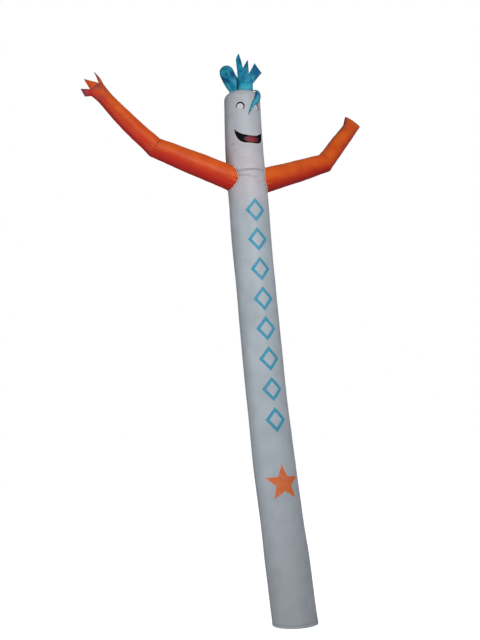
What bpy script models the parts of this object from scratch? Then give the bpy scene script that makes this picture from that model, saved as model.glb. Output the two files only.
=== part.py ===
"""Inflatable air dancer: a leaning cloth tube with sleeve arms, a sewn face and cut hair.

Metres, +Z up. The origin is the centre of the open bottom rim. The face looks toward -Y, the left
arm in the front view points to -X, and the air-filled tube leans gently toward -X as it rises.
"""

from bisect import bisect_right
from collections import namedtuple
from math import cos, degrees, pi, radians, sin, sqrt

import bmesh
import bpy
from mathutils import Matrix, Vector

# Driving sizes
CLOTH = 0.002
SEAM_GAP = 0.0003
SIDES = 36
ARM_SIDES = 24
HEM_HEIGHT = 0.030
HEM_FOLD = 0.001
HEM_TRIM = 0.010
NECK_SEAM = 4.663
SHARP_ANGLE = radians(35.0)

# Cutters: blocks larger than what they part, and the reach of upright ones past the crown
TRUNK_BLOCK = 16.0
ARM_BLOCK = 4.0
CROWN_REACH = 0.040
BORE_ROWS = 3

# Head above the neck seam: straight round the face, then drawn in to the crown
FACE_LOW = 4.900
FACE_HIGH = 5.420
SHOULDER_START = 5.473
CROWN_TOP = 5.545
CROWN_SEAM_RADIUS = 0.140
SHOULDER_ROUND = CROWN_TOP - SHOULDER_START
SHOULDER_TURNS = (68, 50, 34)
CROWN_RADII = (0.125, 0.100, 0.050)

# Trunk sections: height, sideways drift of the centre and radius
TrunkRow = namedtuple("TrunkRow", "height drift radius")
TRUNK = [
    TrunkRow(0.000, 0.000, 0.2325),
    TrunkRow(0.340, -0.026, 0.2295),
    TrunkRow(0.640, -0.050, 0.2290),
    TrunkRow(0.940, -0.074, 0.2210),
    TrunkRow(1.540, -0.122, 0.2195),
    TrunkRow(2.160, -0.162, 0.2110),
    TrunkRow(2.780, -0.190, 0.2110),
    TrunkRow(3.580, -0.222, 0.2080),
    TrunkRow(4.060, -0.240, 0.2090),
    TrunkRow(4.380, -0.246, 0.2080),
    TrunkRow(4.520, -0.251, 0.2075),
    TrunkRow(4.579, -0.253, 0.2035),
    TrunkRow(4.621, -0.255, 0.2065),
    TrunkRow(NECK_SEAM, -0.256, 0.2015),
    TrunkRow(4.720, -0.258, 0.2050),
    TrunkRow(FACE_LOW, -0.262, 0.2035),
    TrunkRow(FACE_HIGH, -0.255, 0.1940),
    TrunkRow(SHOULDER_START, -0.254, 0.1935),
]
BODY_RINGS = [
    0.32, 0.64, 0.94, 1.24, 1.54, 1.85, 2.16, 2.47, 2.78, 3.18, 3.58, 4.06, 4.38, 4.48, 4.54,
    4.579, 4.62, 4.65, NECK_SEAM - SEAM_GAP / 2,
]
HEAD_RINGS = [NECK_SEAM + SEAM_GAP / 2, 4.69, 4.73, 4.80, FACE_LOW, FACE_HIGH, SHOULDER_START]

# Arms: where each leaves the trunk's middle, then heading and rise of both stretches in degrees
# The forearm's section may be turned about its run, which shows where the open cuff is flattened
Arm = namedtuple("Arm", "name start heading rise upper_length fore_heading fore_rise fore_turn")
ARMS = [
    Arm("left", (-0.258, -0.020, 4.544), 178.8, 20.7, 1.042, 180.0, 45.5, 0.0),
    Arm("right", (-0.257, -0.029, 4.527), 12.0, 18.9, 1.068, 22.5, 47.0, -26.0),
]
ArmRow = namedtuple("ArmRow", "reach half_width half_depth shift")
UPPER_ARM = [
    ArmRow(0.000, 0.1370, 0.1370, 0.0),
    ArmRow(0.260, 0.1310, 0.1310, 0.0),
    ArmRow(0.330, 0.1290, 0.1290, 0.0),
    ArmRow(0.620, 0.1215, 0.1215, 0.0),
    ArmRow(0.860, 0.1120, 0.1120, 0.0),
    ArmRow(0.960, 0.1065, 0.1065, 0.0),
    ArmRow(1.080, 0.1025, 0.1025, 0.0),
]
LEFT_FOREARM = [
    ArmRow(-0.040, 0.1025, 0.1025, 0.000),
    ArmRow(0.080, 0.1000, 0.1000, 0.000),
    ArmRow(0.240, 0.0955, 0.0955, -0.010),
    ArmRow(0.440, 0.0885, 0.0885, -0.013),
    ArmRow(0.620, 0.0800, 0.0800, -0.009),
    ArmRow(0.730, 0.0780, 0.0730, -0.003),
    ArmRow(0.825, 0.0915, 0.0550, 0.000),
]
RIGHT_FOREARM = [
    ArmRow(-0.040, 0.1025, 0.1025, 0.000),
    ArmRow(0.080, 0.1000, 0.1000, 0.000),
    ArmRow(0.240, 0.0972, 0.0955, -0.0018),
    ArmRow(0.440, 0.0925, 0.0885, -0.0040),
    ArmRow(0.600, 0.0880, 0.0780, -0.0065),
    ArmRow(0.660, 0.0872, 0.0720, -0.0062),
    ArmRow(0.775, 0.1040, 0.0380, 0.0115),
]

# Cut points of a sleeve: first and last column, then the stations of the tongue of cloth.
# A station is its middle along, across and through the sleeve, and the half width along and across.
Station = namedtuple("Station", "along across through half_along half_across")
Point = namedtuple("Point", "first last stations")
FINGERS = [
    Point(-4, 3, [Station(0.967, 0.115, 0.000, 0.000, -0.005)]),
    Point(-9, -4, [Station(0.978, -0.029, -0.025, 0.000, -0.005)]),
    Point(-13, -9, [Station(0.894, -0.138, -0.008, -0.043, -0.013)]),
]
# Cut ends of the forearms: how far each reaches at a column round it
CutRow = namedtuple("CutRow", "column reach")
HAND_EDGE = [
    CutRow(0, 0.822),
    CutRow(6, 0.830),
    CutRow(11, 0.815),
    CutRow(15, 0.868),
    CutRow(20, 0.852),
    CutRow(24, 0.822),
]
CUFF_EDGE = [
    CutRow(0, 0.775),
    CutRow(6, 0.760),
    CutRow(12, 0.775),
    CutRow(18, 0.760),
    CutRow(24, 0.775),
]
ROWS_PER_STATION = 3

# Height where the trimming form starts, and how far a piece reaches into it before it is trimmed
CORE_START = 4.30
TRIM = 0.006

# Hair, in a frame on the crown turned toward the viewer's side of the face
HAIR_TURN = radians(-20.0)
HAIR_SIDES = 32
SLEEVE_STEPS = 4
SLEEVE_MIDDLE = (0.041, -0.045)
SLEEVE_BASE = (0.078, 0.050)
SLEEVE_TOP = (0.080, 0.046)
SLEEVE_TOP_SHIFT = 0.005
SLEEVE_PUCKERS = 8
PUCKER_DEPTH = 0.0025
EdgeRow = namedtuple("EdgeRow", "column height")
SLEEVE_EDGE = [
    EdgeRow(0, 5.640),
    EdgeRow(4, 5.640),
    EdgeRow(8, 5.650),
    EdgeRow(12, 5.670),
    EdgeRow(16, 5.700),
    EdgeRow(23, 5.804),
    EdgeRow(27, 5.737),
    EdgeRow(30, 5.670),
    EdgeRow(32, 5.640),
]
HAIR_POINTS = [
    Point(14, 23, [
        Station(5.925, -0.018, -0.055, -0.003, -0.0245),
        Station(5.979, -0.010, -0.050, 0.000, -0.0040),
    ]),
    Point(23, 27, [Station(5.888, 0.084, -0.080, 0.000, -0.004)]),
    Point(27, 34, [Station(5.808, 0.1905, -0.045, 0.059, -0.0355)]),
]
THUMB_MIDDLE = (-0.037, 0.045)
THUMB_LEAN = radians(23.5)
ThumbRow = namedtuple("ThumbRow", "reach half_width half_depth level")
THUMB = [
    ThumbRow(0.000, 0.076, 0.050, 1.0),
    ThumbRow(0.045, 0.074, 0.054, 0.7),
    ThumbRow(0.110, 0.076, 0.060, 0.3),
    ThumbRow(0.200, 0.079, 0.068, 0.0),
    ThumbRow(0.290, 0.077, 0.072, 0.0),
]
THUMB_SIDES = 24
THUMB_END_STEPS = 4

# Drooping strand: sewn along some columns of the sleeve's wall, then led by its middle line's
# bearing in degrees, height and distance from the head's middle. The last two columns give how far
# its edges turn and rise from that line.
STRAND_ROOT_FIRST = -4
STRAND_ROOT_HEIGHT = 5.565
STRAND_ROOT_RISE = 0.012
StrandRow = namedtuple("StrandRow", "bearing height radius half_turn half_rise")
STRAND = [
    StrandRow(49.0, 5.560, 0.155, -16.0, -0.017),
    StrandRow(48.5, 5.547, 0.180, -16.5, -0.018),
    StrandRow(45.0, 5.508, 0.2010, -17.0, -0.010),
    StrandRow(38.5, 5.448, 0.2000, -17.0, -0.010),
    StrandRow(27.5, 5.399, 0.1995, -13.0, -0.004),
    StrandRow(15.0, 5.346, 0.2000, -8.7, -0.015),
    StrandRow(7.2, 5.306, 0.2005, -4.8, -0.013),
    StrandRow(-1.2, 5.240, 0.2010, -0.9, -0.003),
]
STRAND_COLUMNS = 6

# Face patches sewn on the head panel
PATCH_CLOTH = 0.0008
EYE_HEIGHT = 5.345
EYE_BEARINGS = {"left": -25.0, "right": 29.0}
EYE_RIM_RADIUS = 0.0470
EYE_RIM_WIDTH = 0.0160
EYE_RIM_END_WIDTH = 0.006
EYE_WHITE_RADIUS = 0.0303
PUPIL_RADIUS = 0.0125
EYE_RIM_START = -52.0
EYE_RIM_END = 197.0
EYE_RIM_STEPS = 20
EYE_WHITE_SIDES = 24
PUPIL_SIDES = 14
PATCH_MERGE = 0.00001
MouthRow = namedtuple("MouthRow", "bearing top bottom")
MOUTH = [
    MouthRow(-49.5, 5.118, 5.110),
    MouthRow(-45.0, 5.101, 5.050),
    MouthRow(-35.5, 5.071, 4.985),
    MouthRow(-20.0, 5.040, 4.947),
    MouthRow(2.5, 5.023, 4.940),
    MouthRow(24.0, 5.031, 4.941),
    MouthRow(41.0, 5.058, 4.961),
    MouthRow(50.0, 5.078, 5.002),
    MouthRow(54.5, 5.090, 5.080),
]
TONGUE = [
    MouthRow(-20.0, 4.998, 4.986),
    MouthRow(-12.0, 5.010, 4.962),
    MouthRow(2.0, 5.015, 4.951),
    MouthRow(20.0, 5.020, 4.954),
    MouthRow(29.0, 5.010, 4.970),
    MouthRow(33.0, 4.998, 4.986),
]
MOUTH_STEPS = 24
TONGUE_STEPS = 12

# Material colours and roughness
WHITE_CLOTH = ("white_ripstop", (0.60, 0.62, 0.65), 0.55)
ORANGE_CLOTH = ("orange_ripstop", (0.78, 0.17, 0.03), 0.50)
TEAL_CLOTH = ("teal_ripstop", (0.01, 0.28, 0.42), 0.40)
BLACK_PATCH = ("black_patch", (0.012, 0.013, 0.018), 0.60)
WHITE_PATCH = ("white_patch", (0.80, 0.81, 0.84), 0.55)
GREY_PATCH = ("grey_patch", (0.42, 0.38, 0.42), 0.60)
RED_PATCH = ("red_patch", (0.24, 0.025, 0.045), 0.55)


def smooth(rows, at, column):
    """Value of a column at a height or reach, on a smooth curve through the table's rows."""
    places = [row[0] for row in rows]
    values = [getattr(row, column) for row in rows]
    if at <= places[0]:
        return values[0]
    if at >= places[-1]:
        return values[-1]
    i = bisect_right(places, at) - 1
    span = places[i + 1] - places[i]

    def slope(k):
        before, after = max(k - 1, 0), min(k + 1, len(rows) - 1)
        return (values[after] - values[before]) / (places[after] - places[before])

    t = (at - places[i]) / span
    rise = values[i + 1] - values[i]
    start, end = slope(i) * span, slope(i + 1) * span
    return values[i] + start * t + (3 * rise - 2 * start - end) * t**2 + (start + end - 2 * rise) * t**3


def clear_scene():
    for item in list(bpy.data.objects):
        bpy.data.objects.remove(item, do_unlink=True)


def new_collection(name):
    group = bpy.data.collections.new(name)
    bpy.context.scene.collection.children.link(group)
    return group


def cloth_material(look):
    name, colour, roughness = look
    material = bpy.data.materials.new(name)
    material.use_nodes = True
    shader = material.node_tree.nodes["Principled BSDF"]
    shader.inputs["Base Color"].default_value = (*colour, 1.0)
    shader.inputs["Roughness"].default_value = roughness
    shader.inputs["Metallic"].default_value = 0.0
    material.diffuse_color = (*colour, 1.0)
    return material


def make_object(name, bm, group, look=None):
    mesh = bpy.data.meshes.new(name)
    bm.to_mesh(mesh)
    bm.free()
    piece = bpy.data.objects.new(name, mesh)
    group.objects.link(piece)
    if look:
        mesh.materials.append(cloth_material(look))
        mesh.shade_smooth()
        mesh.set_sharp_from_angle(angle=SHARP_ANGLE)
    return piece


def make_cutter(name, bm):
    bmesh.ops.recalc_face_normals(bm, faces=bm.faces)
    cutter = make_object(name, bm, cutters)
    cutter.hide_render = True
    cutter.display_type = "WIRE"
    return cutter


def thicken(piece, thickness=CLOTH, offset=-1.0):
    solid = piece.modifiers.new("cloth", "SOLIDIFY")
    solid.thickness = thickness
    solid.offset = offset
    solid.use_even_offset = True


def cut(piece, cutter, keep="DIFFERENCE"):
    boolean = piece.modifiers.new("cut", "BOOLEAN")
    boolean.operation = keep
    boolean.solver = "EXACT"
    boolean.object = cutter


def add_row(bm, points):
    return [bm.verts.new(point) for point in points]


def bridge(bm, low, high, wrap=True):
    """Faces between two rows of a skin, seen from outside with the rows running to the right."""
    count = len(low)
    for i in range(count if wrap else count - 1):
        j = (i + 1) % count
        bm.faces.new((low[i], low[j], high[j], high[i]))


def loft(rings, capped=False):
    bm = bmesh.new()
    rows = [add_row(bm, ring) for ring in rings]
    for low, high in zip(rows, rows[1:]):
        bridge(bm, low, high)
    if capped:
        bm.faces.new(list(reversed(rows[0])))
        bm.faces.new(rows[-1])
    return bm


def trunk_ring(height, extra=0.0):
    """One level section of the trunk, from straight behind round to straight behind again."""
    drift = smooth(TRUNK, height, "drift")
    radius = smooth(TRUNK, height, "radius") + extra
    bearings = [-pi + 2 * pi * k / SIDES for k in range(SIDES)]
    return [Vector((drift + radius * sin(b), -radius * cos(b), height)) for b in bearings]


def crown_height(radius):
    """Height of the head's top at a distance from its middle: flat, then rounded over."""
    flat = smooth(TRUNK, SHOULDER_START, "radius") - SHOULDER_ROUND
    over = max(radius - flat, 0.0)
    return SHOULDER_START + sqrt(max(SHOULDER_ROUND**2 - over**2, 0.0))


def crown_ring(radius, extra=0.0):
    drift = smooth(TRUNK, SHOULDER_START, "drift")
    bearings = [-pi + 2 * pi * k / SIDES for k in range(SIDES)]
    height = crown_height(radius) + extra
    wide = radius + extra
    return [Vector((drift + wide * sin(b), -wide * cos(b), height)) for b in bearings]


def body_rings():
    """Rings of the body panels, from a little under the rim, where they are cut off level."""
    hem = [trunk_ring(-HEM_TRIM, HEM_FOLD), trunk_ring(HEM_HEIGHT, HEM_FOLD), trunk_ring(HEM_HEIGHT + CLOTH)]
    return hem + [trunk_ring(height) for height in BODY_RINGS]


def shoulder_radii():
    flat = smooth(TRUNK, SHOULDER_START, "radius") - SHOULDER_ROUND
    return [flat + SHOULDER_ROUND * sin(radians(turn)) for turn in SHOULDER_TURNS]


def head_rings():
    """Rings of the head panels, a little past the crown seam, where they are trimmed."""
    shoulder = [*shoulder_radii(), CROWN_RADII[0]]
    return [trunk_ring(height) for height in HEAD_RINGS] + [crown_ring(r) for r in shoulder]


def half_space(name, point, normal, size):
    """A large block whose one face passes through the point, filling the side the normal points to."""
    bm = bmesh.new()
    bmesh.ops.create_cube(bm, size=size)
    turn = Vector(normal).to_track_quat("Z", "Y").to_matrix().to_4x4()
    place = Matrix.Translation(Vector(point)) @ turn @ Matrix.Translation((0.0, 0.0, size / 2))
    bmesh.ops.transform(bm, matrix=place, verts=bm.verts)
    return make_cutter(name, bm)


def crown_disc(name, radius):
    """An upright cutter round the hair, whose wall follows the crown seam."""
    outline = crown_ring(radius)
    low = [Vector((point.x, point.y, CROWN_TOP - CROWN_REACH)) for point in outline]
    high = [Vector((point.x, point.y, CROWN_TOP + CROWN_REACH)) for point in outline]
    return make_cutter(name, loft([low, high], capped=True))


def build_trunk(arm_bores):
    """Front and back panels of the body and the head, parted along both sides and at the seams."""
    crown_gap = crown_disc("crown_gap", CROWN_SEAM_RADIUS + SEAM_GAP / 2)
    behind = half_space("side_seams_front", (0, -SEAM_GAP / 2, 0), (0, 1, 0), TRUNK_BLOCK)
    before = half_space("side_seams_back", (0, SEAM_GAP / 2, 0), (0, -1, 0), TRUNK_BLOCK)
    under_rim = half_space("under_rim", (0, 0, 0), (0, 0, -1), TRUNK_BLOCK)
    for level, rings in (("body", body_rings()), ("head", head_rings())):
        for face, far_side in (("front", behind), ("back", before)):
            panel = make_object(f"{level}_{face}", loft(rings), parts, WHITE_CLOTH)
            thicken(panel)
            cut(panel, far_side)
            for bore in arm_bores:
                cut(panel, bore)
            cut(panel, crown_gap if level == "head" else under_rim)


def unit(heading, rise):
    h, r = radians(heading), radians(rise)
    return Vector((cos(r) * cos(h), cos(r) * sin(h), sin(r)))


def sleeve_axes(direction, turn=0.0):
    """Upward and sideways directions of a sleeve's section, square to its run."""
    up = (Vector((0, 0, 1)) - direction * direction.z).normalized()
    up = Matrix.Rotation(radians(turn), 3, direction) @ up
    return up, direction.cross(up)


def arm_ring(origin, direction, row, inset=0.0, turn=0.0):
    up, side = sleeve_axes(direction, turn)
    middle = origin + direction * row.reach + up * row.shift
    wide, deep = row.half_width - inset, row.half_depth - inset
    turns = [2 * pi * k / ARM_SIDES for k in range(ARM_SIDES)]
    return [middle + up * (wide * cos(t)) + side * (deep * sin(t)) for t in turns]


def cut_end(ring, direction, rows, edge):
    """The last ring of a forearm, drawn to the line on which its cloth is cut."""
    last = rows[-1].reach
    return [point + direction * (smooth(edge, k, "reach") - last) for k, point in enumerate(ring)]


def arm_lines(arm):
    """Start, elbow and the two directions of an arm."""
    start = Vector(arm.start)
    upper = unit(arm.heading, arm.rise)
    fore = unit(arm.fore_heading, arm.fore_rise)
    return start, start + upper * arm.upper_length, upper, fore


def build_arm_bore(arm):
    """The air passage that the arm opens through the trunk's wall."""
    start, _, upper, _ = arm_lines(arm)
    rings = [arm_ring(start, upper, row, CLOTH) for row in UPPER_ARM[:BORE_ROWS]]
    return make_cutter(f"bore_{arm.name}", loft(rings, capped=True))


def add_point(bm, ring, point, place):
    """A tongue of cloth growing from part of a sleeve's end ring, drawn in to its last station."""
    count = len(ring)
    row = [ring[k % count] for k in range(point.first, point.last + 1)]
    for station in point.stations:
        base = [vert.co.copy() for vert in row]
        for step in range(1, ROWS_PER_STATION + 1):
            t = step / ROWS_PER_STATION
            points = []
            for k, root in enumerate(base):
                u = 1.0 - 2.0 * k / (len(base) - 1)
                along = station.along + u * station.half_along
                across = station.across + u * station.half_across
                points.append(root.lerp(place(along, across, station.through), t))
            new_row = add_row(bm, points)
            bridge(bm, row, new_row, wrap=False)
            row = new_row


def build_arm(arm, trunk_core):
    start, elbow, upper, fore = arm_lines(arm)
    mitre = (upper + fore).normalized()
    beyond = half_space(f"mitre_{arm.name}_upper", elbow - mitre * SEAM_GAP / 2, mitre, ARM_BLOCK)
    before = half_space(f"mitre_{arm.name}_fore", elbow + mitre * SEAM_GAP / 2, -mitre, ARM_BLOCK)

    rings = [arm_ring(start, upper, row) for row in UPPER_ARM]
    sleeve = make_object(f"arm_{arm.name}_upper", loft(rings), parts, ORANGE_CLOTH)
    thicken(sleeve)
    cut(sleeve, trunk_core)
    cut(sleeve, beyond)

    left = arm.name == "left"
    rows, edge = (LEFT_FOREARM, HAND_EDGE) if left else (RIGHT_FOREARM, CUFF_EDGE)
    rings = [arm_ring(elbow, fore, row, turn=arm.fore_turn) for row in rows]
    rings[-1] = cut_end(rings[-1], fore, rows, edge)
    bm = loft(rings)
    if left:
        bm.verts.ensure_lookup_table()
        ring = bm.verts[-ARM_SIDES:]
        up, side = sleeve_axes(fore)
        for finger in FINGERS:
            add_point(bm, ring, finger, lambda a, c, t: elbow + fore * a + up * c + side * t)
    forearm = make_object(f"arm_{arm.name}_fore", bm, parts, ORANGE_CLOTH)
    thicken(forearm)
    cut(forearm, before)


def hair_place(across, through, height):
    """World place of a point given across and through the hair, as seen from the viewer's side."""
    middle = Vector((smooth(TRUNK, SHOULDER_START, "drift"), 0.0, height))
    return middle + Matrix.Rotation(HAIR_TURN, 3, "Z") @ Vector((across, through, 0.0))


def below_crown(across, through):
    """A point under the head's top, where a piece of hair starts before it is trimmed to sit on it."""
    return hair_place(across, through, crown_height(sqrt(across**2 + through**2)) - TRIM)


def sleeve_edge_height(column):
    return smooth(SLEEVE_EDGE, column % HAIR_SIDES, "height")


def sleeve_point(column, t, extra=0.0):
    """A point of the hair sleeve, from its seam on the crown, t = 0, to its cut edge, t = 1."""
    turn = 2 * pi * column / HAIR_SIDES
    pucker = PUCKER_DEPTH * cos(SLEEVE_PUCKERS * turn) * (1.0 - abs(2 * t - 1)) + extra
    wide = SLEEVE_BASE[0] + (SLEEVE_TOP[0] - SLEEVE_BASE[0]) * t + pucker
    deep = SLEEVE_BASE[1] + (SLEEVE_TOP[1] - SLEEVE_BASE[1]) * t + pucker
    across = SLEEVE_MIDDLE[0] + SLEEVE_TOP_SHIFT * t + wide * cos(turn)
    through = SLEEVE_MIDDLE[1] + deep * sin(turn)
    base = below_crown(across, through)
    height = base.z + (sleeve_edge_height(column) - base.z) * t
    return Vector((base.x, base.y, height))


def build_hair_sleeve(trunk_core):
    heights = [step / SLEEVE_STEPS for step in range(SLEEVE_STEPS + 1)]
    bm = loft([[sleeve_point(k, t) for k in range(HAIR_SIDES)] for t in heights])
    bm.verts.ensure_lookup_table()
    ring = bm.verts[-HAIR_SIDES:]
    for point in HAIR_POINTS:
        add_point(bm, ring, point, lambda height, across, through: hair_place(across, through, height))
    sleeve = make_object("hair_sleeve", bm, parts, TEAL_CLOTH)
    thicken(sleeve)
    cut(sleeve, trunk_core)


def thumb_ring(row, scale=1.0, beyond=0.0):
    """A section of the thumb of hair: level where it is sewn on, then square to its lean."""
    lean = THUMB_LEAN * (1.0 - row.level)
    run = Vector((-sin(THUMB_LEAN), 0.0, cos(THUMB_LEAN))) * (row.reach + beyond)
    points = []
    for k in range(THUMB_SIDES):
        turn = 2 * pi * k / THUMB_SIDES
        wide, through = row.half_width * scale * cos(turn), row.half_depth * scale * sin(turn)
        across = THUMB_MIDDLE[0] + run.x + wide * cos(lean)
        depth = THUMB_MIDDLE[1] * (1.0 - row.reach) + through
        seat = below_crown(across, depth).z if row.level == 1.0 else CROWN_TOP
        points.append(hair_place(across, depth, seat + run.z + wide * sin(lean)))
    return points


def build_hair_thumb(trunk_core):
    rings = [thumb_ring(row) for row in THUMB]
    last = THUMB[-1]
    for step in range(1, THUMB_END_STEPS):
        turn = pi / 2 * step / THUMB_END_STEPS
        rings.append(thumb_ring(last, cos(turn), last.half_width * sin(turn)))
    bm = loft(rings)
    bm.verts.ensure_lookup_table()
    bm.faces.new(bm.verts[-THUMB_SIDES:])
    thumb = make_object("hair_thumb", bm, parts, TEAL_CLOTH)
    thicken(thumb)
    cut(thumb, trunk_core)


def build_crown():
    """Top panel of the head, open where the hair sleeve and the thumb are sewn on."""
    rings = [crown_ring(radius) for radius in (shoulder_radii()[-1], *CROWN_RADII)]
    bm = loft(rings)
    bm.verts.ensure_lookup_table()
    bm.faces.new(bm.verts[-SIDES:])
    crown = make_object("head_crown", bm, parts, WHITE_CLOTH)
    thicken(crown)
    cut(crown, crown_disc("crown_outline", CROWN_SEAM_RADIUS - SEAM_GAP / 2), keep="INTERSECT")
    for name, middle, half_sizes in (
        ("sleeve_hole", SLEEVE_MIDDLE, SLEEVE_BASE),
        ("thumb_hole", THUMB_MIDDLE, (THUMB[0].half_width, THUMB[0].half_depth)),
    ):
        rings = []
        for height in (CROWN_TOP - CROWN_REACH, CROWN_TOP + CROWN_REACH):
            ring = []
            for k in range(HAIR_SIDES):
                turn = 2 * pi * k / HAIR_SIDES
                across = middle[0] + (half_sizes[0] - CLOTH) * cos(turn)
                through = middle[1] + (half_sizes[1] - CLOTH) * sin(turn)
                ring.append(hair_place(across, through, height))
            rings.append(ring)
        cut(crown, make_cutter(name, loft(rings, capped=True)))


def sleeve_wall(column, height):
    """A point a seam's gap off the hair sleeve's wall, at about a height."""
    low, high = sleeve_point(column, 0.0).z, sleeve_edge_height(column)
    return sleeve_point(column, (height - low) / (high - low), SEAM_GAP)


def build_strand():
    """The flat strip of hair that falls over the head's shoulder and down across the face."""
    bm = bmesh.new()
    root = []
    for k in range(STRAND_COLUMNS + 1):
        u = 2.0 * k / STRAND_COLUMNS - 1.0
        root.append(sleeve_wall(STRAND_ROOT_FIRST + k, STRAND_ROOT_HEIGHT + u * STRAND_ROOT_RISE))
    rows = [add_row(bm, root)]
    for row in STRAND:
        points = []
        for k in range(STRAND_COLUMNS + 1):
            u = 2.0 * k / STRAND_COLUMNS - 1.0
            bearing = radians(row.bearing - u * row.half_turn)
            height = row.height - u * row.half_rise
            drift = smooth(TRUNK, height, "drift")
            points.append(Vector((drift + row.radius * sin(bearing), -row.radius * cos(bearing), height)))
        rows.append(add_row(bm, points))
    for high, low in zip(rows, rows[1:]):
        bridge(bm, low, high, wrap=False)
    strand = make_object("hair_strand", bm, parts, TEAL_CLOTH)
    thicken(strand, offset=1.0)


def head_facet_point(bearing, height, lift):
    """A point over the flat facets of the head panel, at a bearing in degrees and a height."""
    step = 360.0 / SIDES
    column = int((bearing + 180.0) // step)
    share = (bearing + 180.0) / step - column
    rise = (height - FACE_LOW) / (FACE_HIGH - FACE_LOW)
    extra = lift / cos(radians(step / 2))
    low, high = trunk_ring(FACE_LOW, extra), trunk_ring(FACE_HIGH, extra)
    start = low[column % SIDES].lerp(high[column % SIDES], rise)
    end = low[(column + 1) % SIDES].lerp(high[(column + 1) % SIDES], rise)
    return start.lerp(end, share)


def build_patch(name, cells, look, layer=0):
    """A thin patch on the head: flat cells in bearing and height, folded over the facet edges."""
    bm = bmesh.new()
    for cell in cells:
        bm.faces.new([bm.verts.new((bearing, height, 0.0)) for bearing, height in cell])
    bmesh.ops.remove_doubles(bm, verts=bm.verts, dist=PATCH_MERGE)
    step = 360.0 / SIDES
    for k in range(-SIDES // 4, SIDES // 4 + 1):
        everything = bm.verts[:] + bm.edges[:] + bm.faces[:]
        fold = (k * step, 0, 0)
        bmesh.ops.bisect_plane(bm, geom=everything, dist=PATCH_MERGE, plane_co=fold, plane_no=(1, 0, 0))
    lift = SEAM_GAP + layer * (PATCH_CLOTH + SEAM_GAP)
    for vert in bm.verts:
        vert.co = head_facet_point(vert.co.x, vert.co.y, lift)
    patch = make_object(name, bm, parts, look)
    thicken(patch, PATCH_CLOTH, offset=1.0)


def round_cell(bearing, radius, turns, width=0.0):
    """Points of an arc about an eye's middle, as bearings and heights."""
    head_radius = smooth(TRUNK, EYE_HEIGHT, "radius")
    points = []
    for turn in turns:
        reach = radius - width
        across = degrees(reach * cos(turn) / head_radius)
        points.append((bearing + across, EYE_HEIGHT + reach * sin(turn)))
    return points


def rim_width(t):
    """Width of the eye's dark rim along its arc: full over the brow, thin at both ends."""
    return EYE_RIM_END_WIDTH + (EYE_RIM_WIDTH - EYE_RIM_END_WIDTH) * sin(pi * t)


def build_eye(side):
    bearing = EYE_BEARINGS[side]
    outer, inner = [], []
    for step in range(EYE_RIM_STEPS + 1):
        t = step / EYE_RIM_STEPS
        turn = radians(EYE_RIM_START + (EYE_RIM_END - EYE_RIM_START) * t)
        outer += round_cell(bearing, EYE_RIM_RADIUS, [turn])
        inner += round_cell(bearing, EYE_RIM_RADIUS, [turn], rim_width(t))
    cells = [(inner[k], outer[k], outer[k + 1], inner[k + 1]) for k in range(EYE_RIM_STEPS)]
    build_patch(f"eye_{side}_rim", cells, BLACK_PATCH)
    circle = [2 * pi * k / EYE_WHITE_SIDES for k in range(EYE_WHITE_SIDES)]
    build_patch(f"eye_{side}_white", [round_cell(bearing, EYE_WHITE_RADIUS, circle)], WHITE_PATCH)
    circle = [2 * pi * k / PUPIL_SIDES for k in range(PUPIL_SIDES)]
    build_patch(f"eye_{side}_pupil", [round_cell(bearing, PUPIL_RADIUS, circle)], GREY_PATCH, layer=1)


def band_cells(rows, steps):
    """Cells of a band between its lower and upper edge, evenly stepped in bearing."""
    first, last = rows[0].bearing, rows[-1].bearing
    bearings = [first + (last - first) * k / steps for k in range(steps + 1)]
    edges = [(b, smooth(rows, b, "bottom"), smooth(rows, b, "top")) for b in bearings]
    return [((b0, low0), (b1, low1), (b1, high1), (b0, high0))
            for (b0, low0, high0), (b1, low1, high1) in zip(edges, edges[1:])]


def build_face():
    for side in EYE_BEARINGS:
        build_eye(side)
    build_patch("mouth_dark", band_cells(MOUTH, MOUTH_STEPS), BLACK_PATCH)
    build_patch("mouth_tongue", band_cells(TONGUE, TONGUE_STEPS), RED_PATCH, layer=1)


def build_trunk_core():
    """The upper trunk's outer form a seam's gap larger, which trims what is sewn on it."""
    heights = [height for height in BODY_RINGS[:-1] if height > CORE_START] + [NECK_SEAM] + HEAD_RINGS[1:]
    rings = [trunk_ring(height, SEAM_GAP) for height in heights]
    rings += [crown_ring(radius, SEAM_GAP) for radius in (*shoulder_radii(), *CROWN_RADII)]
    return make_cutter("trunk_core", loft(rings, capped=True))


clear_scene()
parts = new_collection("air_dancer")
cutters = new_collection("cutters")
build_trunk([build_arm_bore(arm) for arm in ARMS])
core = build_trunk_core()
for arm in ARMS:
    build_arm(arm, core)
build_crown()
build_hair_thumb(core)
build_hair_sleeve(core)
build_strand()
build_face()
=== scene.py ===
"""Looks of the inflatable air dancer: fine cloth, stitching, materials, studio light and camera.

Metres, +Z up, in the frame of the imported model. Each sewn panel is one fine sheet on its solid's
form, with the seams, puckers and creases that the inflated cloth shows.
"""

from collections import namedtuple

import bmesh
import bpy
import numpy as np
from mathutils import Matrix, Vector


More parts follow.
